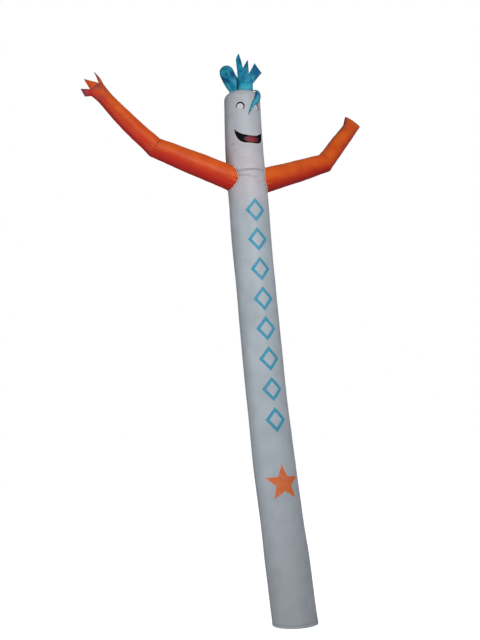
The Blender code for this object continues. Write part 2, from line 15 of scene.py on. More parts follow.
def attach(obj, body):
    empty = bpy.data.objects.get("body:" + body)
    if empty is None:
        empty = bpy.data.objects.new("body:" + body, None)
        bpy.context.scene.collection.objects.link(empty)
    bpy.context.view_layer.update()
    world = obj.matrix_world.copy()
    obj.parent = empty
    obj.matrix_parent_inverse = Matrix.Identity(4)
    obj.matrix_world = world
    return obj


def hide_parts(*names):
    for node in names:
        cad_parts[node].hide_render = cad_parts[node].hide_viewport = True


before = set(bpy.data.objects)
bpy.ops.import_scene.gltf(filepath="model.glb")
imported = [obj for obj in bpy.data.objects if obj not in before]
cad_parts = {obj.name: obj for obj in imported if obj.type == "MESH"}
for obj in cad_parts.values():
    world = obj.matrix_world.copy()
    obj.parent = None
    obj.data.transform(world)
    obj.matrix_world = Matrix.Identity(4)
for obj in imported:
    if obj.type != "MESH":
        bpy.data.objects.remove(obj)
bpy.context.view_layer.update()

# Sizes shared with the solids
CLOTH = 0.0008
HEM_HEIGHT = 0.030
NECK_SEAM = 4.663
FACE_LOW = 4.900
SHOULDER_START = 5.473
CROWN_TOP = 5.545
SHOULDER_ROUND = CROWN_TOP - SHOULDER_START
CROWN_SEAM_RADIUS = 0.140
CLOTH_RADIUS = 0.210

TrunkRow = namedtuple("TrunkRow", "height drift radius")
TRUNK = [
    TrunkRow(0.000, 0.000, 0.2325),
    TrunkRow(0.340, -0.026, 0.2295),
    TrunkRow(0.640, -0.050, 0.2290),
    TrunkRow(0.940, -0.074, 0.2210),
    TrunkRow(1.540, -0.122, 0.2195),
    TrunkRow(2.160, -0.162, 0.2110),
    TrunkRow(2.780, -0.190, 0.2110),
    TrunkRow(3.580, -0.222, 0.2080),
    TrunkRow(4.060, -0.240, 0.2090),
    TrunkRow(4.380, -0.246, 0.2080),
    TrunkRow(4.520, -0.251, 0.2075),
    TrunkRow(4.579, -0.253, 0.2035),
    TrunkRow(4.621, -0.255, 0.2065),
    TrunkRow(NECK_SEAM, -0.256, 0.2015),
    TrunkRow(4.720, -0.258, 0.2050),
    TrunkRow(FACE_LOW, -0.262, 0.2035),
    TrunkRow(5.420, -0.255, 0.1940),
    TrunkRow(SHOULDER_START, -0.254, 0.1935),
]

Arm = namedtuple("Arm", "name start heading rise upper_length fore_heading fore_rise fore_turn")
ARMS = [
    Arm("left", (-0.258, -0.020, 4.544), 178.8, 20.7, 1.042, 180.0, 45.5, 0.0),
    Arm("right", (-0.257, -0.029, 4.527), 12.0, 18.9, 1.068, 22.5, 47.0, -26.0),
]
ArmRow = namedtuple("ArmRow", "reach half_width half_depth shift")
UPPER_ARM = [
    ArmRow(0.000, 0.1370, 0.1370, 0.0),
    ArmRow(0.260, 0.1310, 0.1310, 0.0),
    ArmRow(0.330, 0.1290, 0.1290, 0.0),
    ArmRow(0.620, 0.1215, 0.1215, 0.0),
    ArmRow(0.860, 0.1120, 0.1120, 0.0),
    ArmRow(0.960, 0.1065, 0.1065, 0.0),
    ArmRow(1.080, 0.1025, 0.1025, 0.0),
]
LEFT_FOREARM = [
    ArmRow(-0.040, 0.1025, 0.1025, 0.000),
    ArmRow(0.080, 0.1000, 0.1000, 0.000),
    ArmRow(0.240, 0.0955, 0.0955, -0.010),
    ArmRow(0.440, 0.0885, 0.0885, -0.013),
    ArmRow(0.620, 0.0800, 0.0800, -0.009),
    ArmRow(0.730, 0.0780, 0.0730, -0.003),
    ArmRow(0.825, 0.0915, 0.0550, 0.000),
]
RIGHT_FOREARM = [
    ArmRow(-0.040, 0.1025, 0.1025, 0.000),
    ArmRow(0.080, 0.1000, 0.1000, 0.000),
    ArmRow(0.240, 0.0972, 0.0955, -0.0018),
    ArmRow(0.440, 0.0925, 0.0885, -0.0040),
    ArmRow(0.600, 0.0880, 0.0780, -0.0065),
    ArmRow(0.660, 0.0872, 0.0720, -0.0062),
    ArmRow(0.775, 0.1040, 0.0380, 0.0115),
]
ARM_SIDES = 24
Station = namedtuple("Station", "along across through half_along half_across")
Point = namedtuple("Point", "first last stations")
FINGERS = [
    Point(-4, 3, [Station(0.967, 0.115, 0.000, 0.000, -0.005)]),
    Point(-9, -4, [Station(0.978, -0.029, -0.025, 0.000, -0.005)]),
    Point(-13, -9, [Station(0.894, -0.138, -0.008, -0.043, -0.013)]),
]
CutRow = namedtuple("CutRow", "column reach")
HAND_EDGE = [
    CutRow(0, 0.822),
    CutRow(6, 0.830),
    CutRow(11, 0.815),
    CutRow(15, 0.868),
    CutRow(20, 0.852),
    CutRow(24, 0.822),
]
CUFF_EDGE = [
    CutRow(0, 0.775),
    CutRow(6, 0.760),
    CutRow(12, 0.775),
    CutRow(18, 0.760),
    CutRow(24, 0.775),
]

# Hair, in a frame on the crown turned toward the viewer's side of the face
HAIR_TURN = np.radians(-20.0)
HAIR_SIDES = 32
HAIR_SINK = 0.003
SLEEVE_MIDDLE = (0.041, -0.045)
SLEEVE_BASE = (0.078, 0.050)
SLEEVE_TOP = (0.080, 0.046)
SLEEVE_TOP_SHIFT = 0.005
EdgeRow = namedtuple("EdgeRow", "column height")
SLEEVE_EDGE = [
    EdgeRow(0, 5.640),
    EdgeRow(4, 5.640),
    EdgeRow(8, 5.650),
    EdgeRow(12, 5.670),
    EdgeRow(16, 5.700),
    EdgeRow(23, 5.804),
    EdgeRow(27, 5.737),
    EdgeRow(30, 5.670),
    EdgeRow(32, 5.640),
]
HAIR_POINTS = [
    Point(14, 23, [
        Station(5.925, -0.018, -0.055, -0.003, -0.0245),
        Station(5.979, -0.010, -0.050, 0.000, -0.0040),
    ]),
    Point(23, 27, [Station(5.888, 0.084, -0.080, 0.000, -0.004)]),
    Point(27, 34, [Station(5.808, 0.1905, -0.045, 0.059, -0.0355)]),
]
THUMB_MIDDLE = (-0.037, 0.045)
THUMB_LEAN = np.radians(23.5)
ThumbRow = namedtuple("ThumbRow", "reach half_width half_depth level")
THUMB = [
    ThumbRow(0.000, 0.076, 0.050, 1.0),
    ThumbRow(0.045, 0.074, 0.054, 0.7),
    ThumbRow(0.110, 0.076, 0.060, 0.3),
    ThumbRow(0.200, 0.079, 0.068, 0.0),
    ThumbRow(0.290, 0.077, 0.072, 0.0),
]
STRAND_ROOT_FIRST = -4
STRAND_ROOT_LAST = 2
STRAND_ROOT_HEIGHT = 5.565
STRAND_ROOT_RISE = 0.012
StrandRow = namedtuple("StrandRow", "bearing height radius half_turn half_rise")
STRAND = [
    StrandRow(49.0, 5.560, 0.155, -16.0, -0.017),
    StrandRow(48.5, 5.547, 0.180, -16.5, -0.018),
    StrandRow(45.0, 5.508, 0.2010, -17.0, -0.010),
    StrandRow(38.5, 5.448, 0.2000, -17.0, -0.010),
    StrandRow(27.5, 5.399, 0.1995, -13.0, -0.004),
    StrandRow(15.0, 5.346, 0.2000, -8.7, -0.015),
    StrandRow(7.2, 5.306, 0.2005, -4.8, -0.013),
    StrandRow(-1.2, 5.240, 0.2010, -0.9, -0.003),
]

# Face patches
PATCH_CLOTH = 0.0008
PATCH_GAP = 0.0003
EYE_HEIGHT = 5.345
EYE_BEARINGS = {"left": -25.0, "right": 29.0}
EYE_RIM_RADIUS = 0.0470
EYE_RIM_WIDTH = 0.0160
EYE_RIM_END_WIDTH = 0.006
EYE_WHITE_RADIUS = 0.0303
PUPIL_RADIUS = 0.0125
EYE_RIM_START = -52.0
EYE_RIM_END = 197.0
MouthRow = namedtuple("MouthRow", "bearing top bottom")
MOUTH = [
    MouthRow(-49.5, 5.118, 5.110),
    MouthRow(-45.0, 5.101, 5.050),
    MouthRow(-35.5, 5.071, 4.985),
    MouthRow(-20.0, 5.040, 4.947),
    MouthRow(2.5, 5.023, 4.940),
    MouthRow(24.0, 5.031, 4.941),
    MouthRow(41.0, 5.058, 4.961),
    MouthRow(50.0, 5.078, 5.002),
    MouthRow(54.5, 5.090, 5.080),
]
TONGUE = [
    MouthRow(-20.0, 4.998, 4.986),
    MouthRow(-12.0, 5.010, 4.962),
    MouthRow(2.0, 5.015, 4.951),
    MouthRow(20.0, 5.020, 4.954),
    MouthRow(29.0, 5.010, 4.970),
    MouthRow(33.0, 4.998, 4.986),
]

# Creases of the trunk: a soft trough (or ridge, if its depth is above 0) between two places given
# by bearing in degrees and height, its half width, and how dark the painted shade on its floor is
Crease = namedtuple("Crease", "bearing height end_bearing end_height width depth dark")
TRUNK_CREASES = [
    Crease(-72, 4.662, 6, 4.659, 0.007, -0.0035, 0.55),
    Crease(-70, 4.588, -12, 4.592, 0.007, -0.0050, 0.60),
    Crease(-12, 4.592, 14, 4.586, 0.006, -0.0020, 0.20),
    Crease(-68, 4.640, -44, 4.643, 0.005, -0.0025, 0.25),
    Crease(-64, 4.618, -30, 4.622, 0.005, -0.0030, 0.30),
    Crease(-40, 4.632, 4, 4.636, 0.010, 0.0040, 0.00),
    Crease(-26, 4.610, -2, 4.604, 0.008, 0.0035, 0.00),
    Crease(-40, 4.566, 6, 4.564, 0.008, 0.0040, 0.00),
    Crease(-66, 4.574, -46, 4.568, 0.006, -0.0025, 0.25),
    Crease(-66, 4.812, 6, 4.812, 0.006, 0.0040, 0.00),
    Crease(-66, 4.800, 4, 4.801, 0.006, -0.0015, 0.10),
    Crease(-62, 4.866, -44, 4.870, 0.004, -0.0022, 0.30),
    Crease(-60, 4.893, -36, 4.886, 0.004, -0.0020, 0.25),
    Crease(-61, 4.928, -50, 4.962, 0.004, -0.0025, 0.35),
    Crease(-55, 4.924, -45, 4.958, 0.004, -0.0025, 0.35),
    Crease(-62, 4.960, -46, 4.934, 0.004, -0.0020, 0.30),
    Crease(-57, 5.000, -49, 4.972, 0.004, -0.0020, 0.25),
    Crease(-60, 5.060, -52, 5.020, 0.005, -0.0015, 0.15),
    Crease(-50, 5.262, -44, 5.290, 0.005, -0.0018, 0.20),
    Crease(-40, 5.258, -34, 5.276, 0.005, -0.0018, 0.18),
    Crease(-58, 5.330, -50, 5.352, 0.005, -0.0015, 0.15),
    Crease(-46, 5.415, -36, 5.436, 0.005, -0.0018, 0.20),
    Crease(-28, 5.428, -12, 5.414, 0.005, -0.0018, 0.18),
    Crease(-60, 5.448, -42, 5.470, 0.006, -0.0020, 0.20),
    Crease(-36, 5.476, -10, 5.492, 0.006, -0.0022, 0.20),
    Crease(-70, 5.486, -48, 5.506, 0.006, -0.0020, 0.20),
    Crease(14, 5.232, 22, 5.206, 0.005, -0.0015, 0.20),
    Crease(30, 5.215, 38, 5.236, 0.005, -0.0015, 0.20),
    Crease(38, 5.120, 46, 5.146, 0.005, -0.0020, 0.25),
    Crease(47, 5.112, 58, 5.132, 0.005, -0.0020, 0.25),
    Crease(28, 4.930, 31, 4.840, 0.006, -0.0015, 0.15),
    Crease(40, 4.925, 43, 4.835, 0.006, -0.0015, 0.12),
    Crease(120, 4.640, 170, 4.646, 0.006, -0.0030, 0.30),
    Crease(-160, 4.620, -118, 4.612, 0.006, -0.0030, 0.30),
    Crease(150, 4.590, 205, 4.584, 0.007, -0.0040, 0.40),
    Crease(130, 5.478, 165, 5.492, 0.006, -0.0022, 0.20),
    Crease(-165, 5.452, -140, 5.470, 0.006, -0.0020, 0.20),
    Crease(-58, 0.052, -20, 0.047, 0.007, -0.0015, 0.10),
    Crease(10, 0.050, 44, 0.056, 0.007, -0.0015, 0.10),
]

# Marks of the sleeves, by turn round the sleeve in degrees (0 on top) and distance along it; dark is the painted shade
# on each crease's floor
SleeveCrease = namedtuple("SleeveCrease", "piece turn reach end_turn end_reach width depth dark")
SLEEVE_CREASES = [
    SleeveCrease("arm_left_upper", 20, 1.000, -50, 1.010, 0.006, -0.0035, 0.35),
    SleeveCrease("arm_left_upper", 34, 0.972, -36, 0.978, 0.006, -0.0025, 0.25),
    SleeveCrease("arm_left_fore", 24, 0.030, -56, 0.034, 0.006, -0.0035, 0.35),
    SleeveCrease("arm_left_fore", 40, 0.066, -30, 0.058, 0.006, -0.0020, 0.20),
    SleeveCrease("arm_left_fore", -70, 0.560, -98, 0.600, 0.005, -0.0020, 0.35),
    SleeveCrease("arm_left_fore", -96, 0.440, -112, 0.470, 0.005, -0.0022, 0.45),
    SleeveCrease("arm_right_upper", 20, 1.026, -50, 1.036, 0.006, -0.0030, 0.30),
    SleeveCrease("arm_right_upper", 100, 1.000, 140, 1.034, 0.005, -0.0022, 0.35),
    SleeveCrease("arm_right_upper", 118, 0.960, 150, 0.992, 0.005, -0.0020, 0.30),
    SleeveCrease("arm_right_upper", 44, 0.960, 58, 0.990, 0.005, -0.0015, 0.20),
    SleeveCrease("arm_right_fore", 24, 0.028, 70, 0.010, 0.005, -0.0025, 0.35),
    SleeveCrease("arm_right_fore", 96, 0.052, 128, 0.030, 0.005, -0.0022, 0.35),
    SleeveCrease("arm_right_fore", 84, 0.170, 112, 0.200, 0.005, -0.0015, 0.25),
]

# Fineness of the sheets: columns round them, and row steps along them
BODY_COLUMNS = 80
HEAD_COLUMNS = 104
CROWN_COLUMNS = 144
ARM_COLUMNS = 120
HAIR_COLUMNS = 128
THUMB_COLUMNS = 96
STRAND_COLUMNS = 24
BODY_STEPS = [(0.0, 0.12, 0.003), (0.12, 4.38, 0.012), (4.38, NECK_SEAM - 0.00015, 0.0036)]
HEAD_STEP = 0.006
CROWN_STEP = 0.0035
ARM_ROWS = 120
TONGUE_ROWS = 22
WELD = 0.00001

# Distances up the side of the trunk and on over its top
END_RADIUS = 0.1935
FLAT_RADIUS = END_RADIUS - SHOULDER_ROUND
TOP_START = SHOULDER_START + SHOULDER_ROUND * np.pi / 2
CROWN_SEAM = SHOULDER_START + SHOULDER_ROUND * np.arccos((CROWN_SEAM_RADIUS - FLAT_RADIUS) / SHOULDER_ROUND)
TOP_MIDDLE = TOP_START + FLAT_RADIUS
SIDE_SEAMS = (-90.0, 90.0, 270.0)
HOLE_INSET = 0.0015
ROOT_SINK = 0.003
FAR = 9.0

Grid = namedtuple("Grid", "points uv marks keep")
Sleeve = namedtuple("Sleeve", "name origin direction up side rows near far edge")


def smooth(rows, at, column):
    """Values of a column at heights or reaches, on a smooth curve through the table's rows."""
    places = np.array([row[0] for row in rows], dtype=float)
    values = np.array([getattr(row, column) for row in rows], dtype=float)
    slopes = np.empty(len(rows))
    slopes[1:-1] = (values[2:] - values[:-2]) / (places[2:] - places[:-2])
    slopes[0] = (values[1] - values[0]) / (places[1] - places[0])
    slopes[-1] = (values[-1] - values[-2]) / (places[-1] - places[-2])
    at = np.clip(at, places[0], places[-1])
    i = np.clip(np.searchsorted(places, at, side="right") - 1, 0, len(rows) - 2)
    span = places[i + 1] - places[i]
    t = (at - places[i]) / span
    rise = values[i + 1] - values[i]
    start, end = slopes[i] * span, slopes[i + 1] * span
    return values[i] + start * t + (3 * rise - 2 * start - end) * t**2 + (start + end - 2 * rise) * t**3


def ridge(distance, width):
    """A soft bump, 1 at its middle line."""
    return np.exp(-((distance / width) ** 2))


def spaced(stretches):
    """Rising values through stretches of start, end and step."""
    values = []
    for start, end, step in stretches:
        count = max(int(round((end - start) / step)), 1)
        values.append(np.linspace(start, end, count, endpoint=False))
    return np.concatenate(values + [[stretches[-1][1]]])


def uneven(points, length, seed):
    """Slow seeded bulges, about -1 to 1, with waves of about a length in metres."""
    draw = np.random.default_rng(seed)
    total = np.zeros(points.shape[:-1])
    waves = 7
    for _ in range(waves):
        direction = draw.normal(size=3)
        direction /= np.linalg.norm(direction) * length * draw.uniform(0.7, 1.5)
        total += np.sin(points @ direction * 2 * np.pi + draw.uniform(0, 2 * np.pi))
    return total / np.sqrt(waves)


def crumple(points, length, seed):
    """Sharp valleys between soft swells, from -1 to 0, as in light crisp cloth."""
    return -np.exp(-4.0 * np.abs(uneven(points, length, seed)))


def crease_share(across, along, start, end, width, bow):
    """How strongly places in a plane lie on a crease: a bowed line that thins out to its ends."""
    run = np.array(end) - np.array(start)
    length = max(np.hypot(*run), 1e-6)
    run /= length
    offset = np.stack([across - start[0], along - start[1]], axis=-1)
    t = np.clip(offset @ run / length, 0.0, 1.0)
    sway = bow * length * np.sin(np.pi * t)
    line = np.stack([start[0] + run[0] * t * length - run[1] * sway,
                     start[1] + run[1] * t * length + run[0] * sway], axis=-1)
    away = np.hypot(across - line[..., 0], along - line[..., 1])
    return ridge(away, width * (0.45 + 0.55 * np.sin(np.pi * t)))


def meridian(s):
    """Radius, height and tilt of the trunk's skin, by distance up its side and over its top."""
    tilt = np.clip((s - SHOULDER_START) / SHOULDER_ROUND, 0.0, np.pi / 2)
    inward = np.maximum(s - TOP_START, 0.0)
    top_radius = FLAT_RADIUS + SHOULDER_ROUND * np.cos(tilt) - inward
    radius = np.where(s <= SHOULDER_START, smooth(TRUNK, s, "radius"), top_radius)
    height = np.where(s <= SHOULDER_START, s, SHOULDER_START + SHOULDER_ROUND * np.sin(tilt))
    return radius, height, tilt


def trunk_point(bearing, s, lift=0.0):
    radius, height, tilt = meridian(s)
    drift = smooth(TRUNK, height, "drift")
    out = radius + lift * np.cos(tilt)
    return np.stack([drift + out * np.sin(bearing), -out * np.cos(bearing), height + lift * np.sin(tilt)], -1)


def trunk_normal(bearing, s):
    tilt = meridian(s)[2]
    return np.stack([np.sin(bearing) * np.cos(tilt), -np.cos(bearing) * np.cos(tilt), np.sin(tilt)], -1)


def unit(heading, rise):
    h, r = np.radians(heading), np.radians(rise)
    return np.array([np.cos(r) * np.cos(h), np.cos(r) * np.sin(h), np.sin(r)])


def sleeve_axes(direction, turn=0.0):
    """Upward and sideways directions of a sleeve's section, square to its run."""
    up = np.array([0.0, 0.0, 1.0]) - direction * direction[2]
    up /= np.linalg.norm(up)
    side = np.cross(direction, up)
    angle = np.radians(turn)
    up = up * np.cos(angle) + side * np.sin(angle)
    return up, np.cross(direction, up)


def arm_point(sleeve, turn, reach, lift=0.0):
    """Point of a sleeve; a cut hand's uneven edge stretches the last part of its run."""
    wide = smooth(sleeve.rows, reach, "half_width") + lift
    deep = smooth(sleeve.rows, reach, "half_depth") + lift
    shift = smooth(sleeve.rows, reach, "shift")
    along = reach
    if sleeve.edge:
        first, last = sleeve.rows[-2].reach, sleeve.rows[-1].reach
        column = np.mod(turn / (2 * np.pi) * ARM_SIDES, ARM_SIDES)
        extra = smooth(sleeve.edge, column, "reach") - last
        along = reach + extra * np.clip((reach - first) / (last - first), 0.0, 1.0)
    across = (shift + wide * np.cos(turn))[..., None] * sleeve.up
    return sleeve.origin + along[..., None] * sleeve.direction + across + (deep * np.sin(turn))[..., None] * sleeve.side


def bisect(function, low, high, rounds=40):
    """Where a rising function of an array crosses nought, between two arrays."""
    for _ in range(rounds):
        middle = (low + high) / 2
        above = function(middle) > 0
        high = np.where(above, middle, high)
        low = np.where(above, low, middle)
    return (low + high) / 2


def trunk_distance(points):
    """How far points lie outside the trunk's skin."""
    drift = smooth(TRUNK, points[..., 2], "drift")
    radius = smooth(TRUNK, points[..., 2], "radius")
    return np.hypot(points[..., 0] - drift, points[..., 1]) - radius


def build_sleeves():
    """The four arm sleeves: their frames, and the reach at which each starts and ends by turn."""
    sleeves = {}
    for arm in ARMS:
        start = np.array(arm.start)
        upper, fore = unit(arm.heading, arm.rise), unit(arm.fore_heading, arm.fore_rise)
        elbow = start + upper * arm.upper_length
        mitre = (upper + fore) / np.linalg.norm(upper + fore)
        up, side = sleeve_axes(upper)
        name = f"arm_{arm.name}_upper"
        near = lambda sleeve, turn: bisect(
            lambda a: trunk_distance(arm_point(sleeve, turn, a)) + ROOT_SINK,
            np.full(turn.shape, 0.05), np.full(turn.shape, 0.45))
        far = lambda sleeve, turn, mitre=mitre, elbow=elbow, length=arm.upper_length: bisect(
            lambda a: (arm_point(sleeve, turn, a) - elbow) @ mitre,
            np.full(turn.shape, length - 0.2), np.full(turn.shape, length + 0.2))
        sleeves[name] = Sleeve(name, start, upper, up, side, UPPER_ARM, near, far, None)
        up, side = sleeve_axes(fore, arm.fore_turn)
        rows, edge = (LEFT_FOREARM, HAND_EDGE) if arm.name == "left" else (RIGHT_FOREARM, CUFF_EDGE)
        near = lambda sleeve, turn, mitre=mitre, elbow=elbow: bisect(
            lambda a: (arm_point(sleeve, turn, a) - elbow) @ mitre,
            np.full(turn.shape, -0.2), np.full(turn.shape, 0.2))
        far = lambda sleeve, turn: np.full(turn.shape, sleeve.rows[-1].reach)
        name = f"arm_{arm.name}_fore"
        sleeves[name] = Sleeve(name, elbow, fore, up, side, rows, near, far, edge)
    return sleeves


SLEEVES = build_sleeves()


def beyond_sleeve(points, sleeve):
    """How far points lie outside an upper sleeve's wall, their turn round it and the way out."""
    offset = points - sleeve.origin
    reach = offset @ sleeve.direction
    across = offset - reach[..., None] * sleeve.direction
    away = np.linalg.norm(across, axis=-1)
    turn = np.arctan2(across @ sleeve.side, across @ sleeve.up)
    wall = smooth(sleeve.rows, reach, "half_width")
    out = across / np.maximum(away, 1e-9)[..., None]
    return np.where(reach > 0, away - wall, FAR), turn, out


def open_arm_hole(bearing, s, keep, sleeve):
    """Drops the faces inside an arm's root and draws the rest up to the root's outline."""
    gap = beyond_sleeve(trunk_point(bearing, s), sleeve)[0] + HOLE_INSET
    inside = gap < 0
    keep &= ~(inside[:-1, :-1] & inside[:-1, 1:] & inside[1:, 1:] & inside[1:, :-1])
    for _ in range(6):
        points = trunk_point(bearing, s)
        gap, _, out = beyond_sleeve(points, sleeve)
        moved = points - out * (gap + HOLE_INSET)[..., None]
        drift = smooth(TRUNK, moved[..., 2], "drift")
        turned = np.arctan2(moved[..., 0] - drift, -moved[..., 1])
        turned = bearing + np.mod(turned - bearing + np.pi, 2 * np.pi) - np.pi
        bearing = np.where(inside, turned, bearing)
        s = np.where(inside, moved[..., 2], s)
    return bearing, s, keep


def trunk_relief(bearing, s):
    """Lift of the trunk's skin off its plain form, and its marks: painted crease shade, shade tint and an unused third
    value.
    """
    degrees = np.degrees(bearing)
    radius, height, _ = meridian(s)
    points = trunk_point(bearing, s)
    lift = 0.0016 * uneven(points, 0.60, 3) + 0.0007 * uneven(points, 0.16, 5)
    lift += 0.0012 * crumple(points * np.array([1.0, 1.0, 0.45]), 0.22, 8) * (0.5 + 0.5 * uneven(points, 0.9, 4))
    # crease: painted shade along the seams, the hem, the arm roots and each crease's floor
    crease = np.zeros(s.shape)
    for seam in SIDE_SEAMS:
        away = np.radians(degrees - seam) * radius
        lift += -0.0016 * ridge(away, 0.004) + 0.0008 * ridge(away, 0.024) * np.sin(2 * np.pi * s / 0.052)
        crease += 0.50 * ridge(away, 0.0045)
    for seam, pucker in ((NECK_SEAM, 0.0022), (CROWN_SEAM, 0.0012)):
        away = s - seam
        fold = np.cos(25 * bearing + 2.0 * np.sin(3 * bearing))
        lift += -0.0022 * ridge(away, 0.004) + pucker * fold * np.exp(-np.abs(away) / 0.026)
        crease += 0.30 * ridge(away, 0.004) + 0.10 * np.maximum(-fold, 0) * np.exp(-np.abs(away) / 0.020)
    hem = 1.0 / (1.0 + np.exp((s - HEM_HEIGHT) / 0.0008))
    lift += 0.0010 * hem - 0.0012 * ridge(s - HEM_HEIGHT, 0.003)
    lift += 0.0009 * np.cos(44 * bearing + np.sin(5 * bearing)) * np.exp(-np.abs(s - HEM_HEIGHT) / 0.018)
    crease += 0.50 * ridge(s - HEM_HEIGHT, 0.0035)
    for name in ("arm_left_upper", "arm_right_upper"):
        away, turn, _ = beyond_sleeve(points, SLEEVES[name])
        away = np.maximum(away, 0.0)
        fold = np.cos(21 * turn + 1.5 * np.sin(2 * turn))
        lift += -0.0020 * ridge(away, 0.006) + 0.0026 * fold * np.exp(-away / 0.036) * (1 - ridge(away, 0.004))
        crease += 0.30 * ridge(away, 0.009) + 0.16 * np.maximum(-fold, 0) * np.exp(-away / 0.030)
    for index, row in enumerate(TRUNK_CREASES):
        middle = (row.bearing + row.end_bearing) / 2
        turned = np.radians(np.mod(degrees - middle + 180.0, 360.0) - 180.0) * radius
        half = np.radians(row.end_bearing - row.bearing) / 2 * CLOTH_RADIUS
        bow = 0.06 if index % 2 else -0.05
        share = crease_share(turned, height, (-half, row.height), (half, row.end_height), row.width, bow)
        lift += row.depth * share
        crease += row.dark * share
    marks = np.stack([np.clip(crease, 0, 1), np.zeros(s.shape), np.zeros(s.shape)], -1)
    return lift, marks


def trunk_cloth(bearing, s, extra=0.0):
    """Place of the finished skin, creases and all."""
    return trunk_point(bearing, s, trunk_relief(bearing, s)[0] + extra)


def panel_grid(first, last, columns, rows):
    bearing, s = np.meshgrid(np.radians(np.linspace(first, last, columns + 1)), rows)
    keep = np.ones((s.shape[0] - 1, s.shape[1] - 1), bool)
    for name in ("arm_left_upper", "arm_right_upper"):
        bearing, s, keep = open_arm_hole(bearing, s, keep, SLEEVES[name])
    lift, marks = trunk_relief(bearing, s)
    uv = np.stack([bearing * CLOTH_RADIUS, s], -1)
    return Grid(trunk_point(bearing, s, lift), uv, marks, keep)


def cloth_mesh(name, grids):
    """One mesh from grids of points, welded where they meet, with cloth coordinates and marks."""
    points, faces, uv, marks, first = [], [], [], [], 0
    for grid in grids:
        rows, columns = grid.points.shape[:2]
        index = first + np.arange(rows * columns).reshape(rows, columns)
        corners = np.stack([index[:-1, :-1], index[:-1, 1:], index[1:, 1:], index[1:, :-1]], -1)
        faces.append(corners.reshape(-1, 4) if grid.keep is None else corners[grid.keep])
        points.append(grid.points.reshape(-1, 3))
        uv.append(grid.uv.reshape(-1, 2))
        marks.append(grid.marks.reshape(-1, 3))
        first += rows * columns
    faces = np.concatenate(faces)
    mesh = bpy.data.meshes.new(name)
    mesh.from_pydata(np.concatenate(points).tolist(), [], faces.tolist())
    layer = mesh.uv_layers.new(name="cloth")
    layer.data.foreach_set("uv", np.concatenate(uv)[faces.ravel()].astype(np.float32).ravel())
    attribute = mesh.attributes.new("marks", "FLOAT_VECTOR", "POINT")
    attribute.data.foreach_set("vector", np.concatenate(marks).astype(np.float32).ravel())
    bm = bmesh.new()
    bm.from_mesh(mesh)
    bmesh.ops.remove_doubles(bm, verts=bm.verts, dist=WELD)
    bmesh.ops.delete(bm, geom=[vert for vert in bm.verts if not vert.link_faces], context="VERTS")
    bm.to_mesh(mesh)
    bm.free()
    return mesh


def add_object(name, mesh, material):
    piece = bpy.data.objects.new(name, mesh)
    bpy.context.scene.collection.objects.link(piece)
    mesh.materials.clear()
    mesh.materials.append(material)
    mesh.shade_smooth()
    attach(piece, "root")
    return piece


def cloth_piece(name, grids, material, nodes, offset=-1.0, thickness=CLOTH):
    """A thin sheet of cloth that stands for its plain solid."""
    shell = bpy.data.objects.new(name + "_skin", cloth_mesh(name + "_skin", grids))
    bpy.context.scene.collection.objects.link(shell)
    solid = shell.modifiers.new("cloth", "SOLIDIFY")
    solid.thickness = thickness
    solid.offset = offset
    solid.use_even_offset = False
    bpy.context.view_layer.update()
    mesh = bpy.data.meshes.new_from_object(shell.evaluated_get(bpy.context.evaluated_depsgraph_get()))
    mesh.name = name
    bpy.data.objects.remove(shell, do_unlink=True)
    piece = add_object(name, mesh, material)
    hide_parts(*nodes)
    return piece


def tube_grid(points, normals, radius, sides=8):
    """Skin of a thin round tube along closed points, for piping and edging."""
    ahead, behind = np.roll(points, -1, axis=0), np.roll(points, 1, axis=0)
    tangent = ahead - behind
    tangent /= np.linalg.norm(tangent, axis=-1)[:, None]
    normal = normals - np.sum(normals * tangent, -1)[:, None] * tangent
    normal /= np.linalg.norm(normal, axis=-1)[:, None]
    across = np.cross(tangent, normal)
    turns = np.linspace(0, 2 * np.pi, sides + 1)
    ring = np.cos(turns)[None, :, None] * normal[:, None] + np.sin(turns)[None, :, None] * across[:, None]
    skin = points[:, None] + radius * ring
    skin = np.concatenate([skin, skin[:1]])
    length = np.linalg.norm(ahead - points, axis=-1).cumsum()
    along = np.concatenate([[0.0], length])
    uv = np.stack(np.broadcast_arrays(turns[None, :] * radius, along[:, None]), -1)
    return Grid(skin, uv, np.zeros(skin.shape), None)


def build_trunk(white):
    body_rows = spaced(BODY_STEPS)
    head_rows = spaced([(NECK_SEAM + 0.00015, CROWN_SEAM - 0.00015, HEAD_STEP)])
    pieces = {}
    for level, rows, columns in (("body", body_rows, BODY_COLUMNS), ("head", head_rows, HEAD_COLUMNS)):
        for face, first in (("front", -90.0), ("back", 90.0)):
            name = f"{level}_{face}"
            grid = panel_grid(first, first + 180.0, columns, rows)
            pieces[name] = cloth_piece("cloth_" + name, [grid], white, [name])
    return pieces


def hair_place(across, through, height):
    """World place of a point given across and through the hair, as seen from the viewer's side."""
    cos, sin = np.cos(HAIR_TURN), np.sin(HAIR_TURN)
    x = -0.254 + across * cos - through * sin
    return np.stack(np.broadcast_arrays(x, across * sin + through * cos, height), -1)


def crown_height(radius):
    over = np.maximum(radius - FLAT_RADIUS, 0.0)
    return SHOULDER_START + np.sqrt(np.maximum(SHOULDER_ROUND**2 - over**2, 0.0))


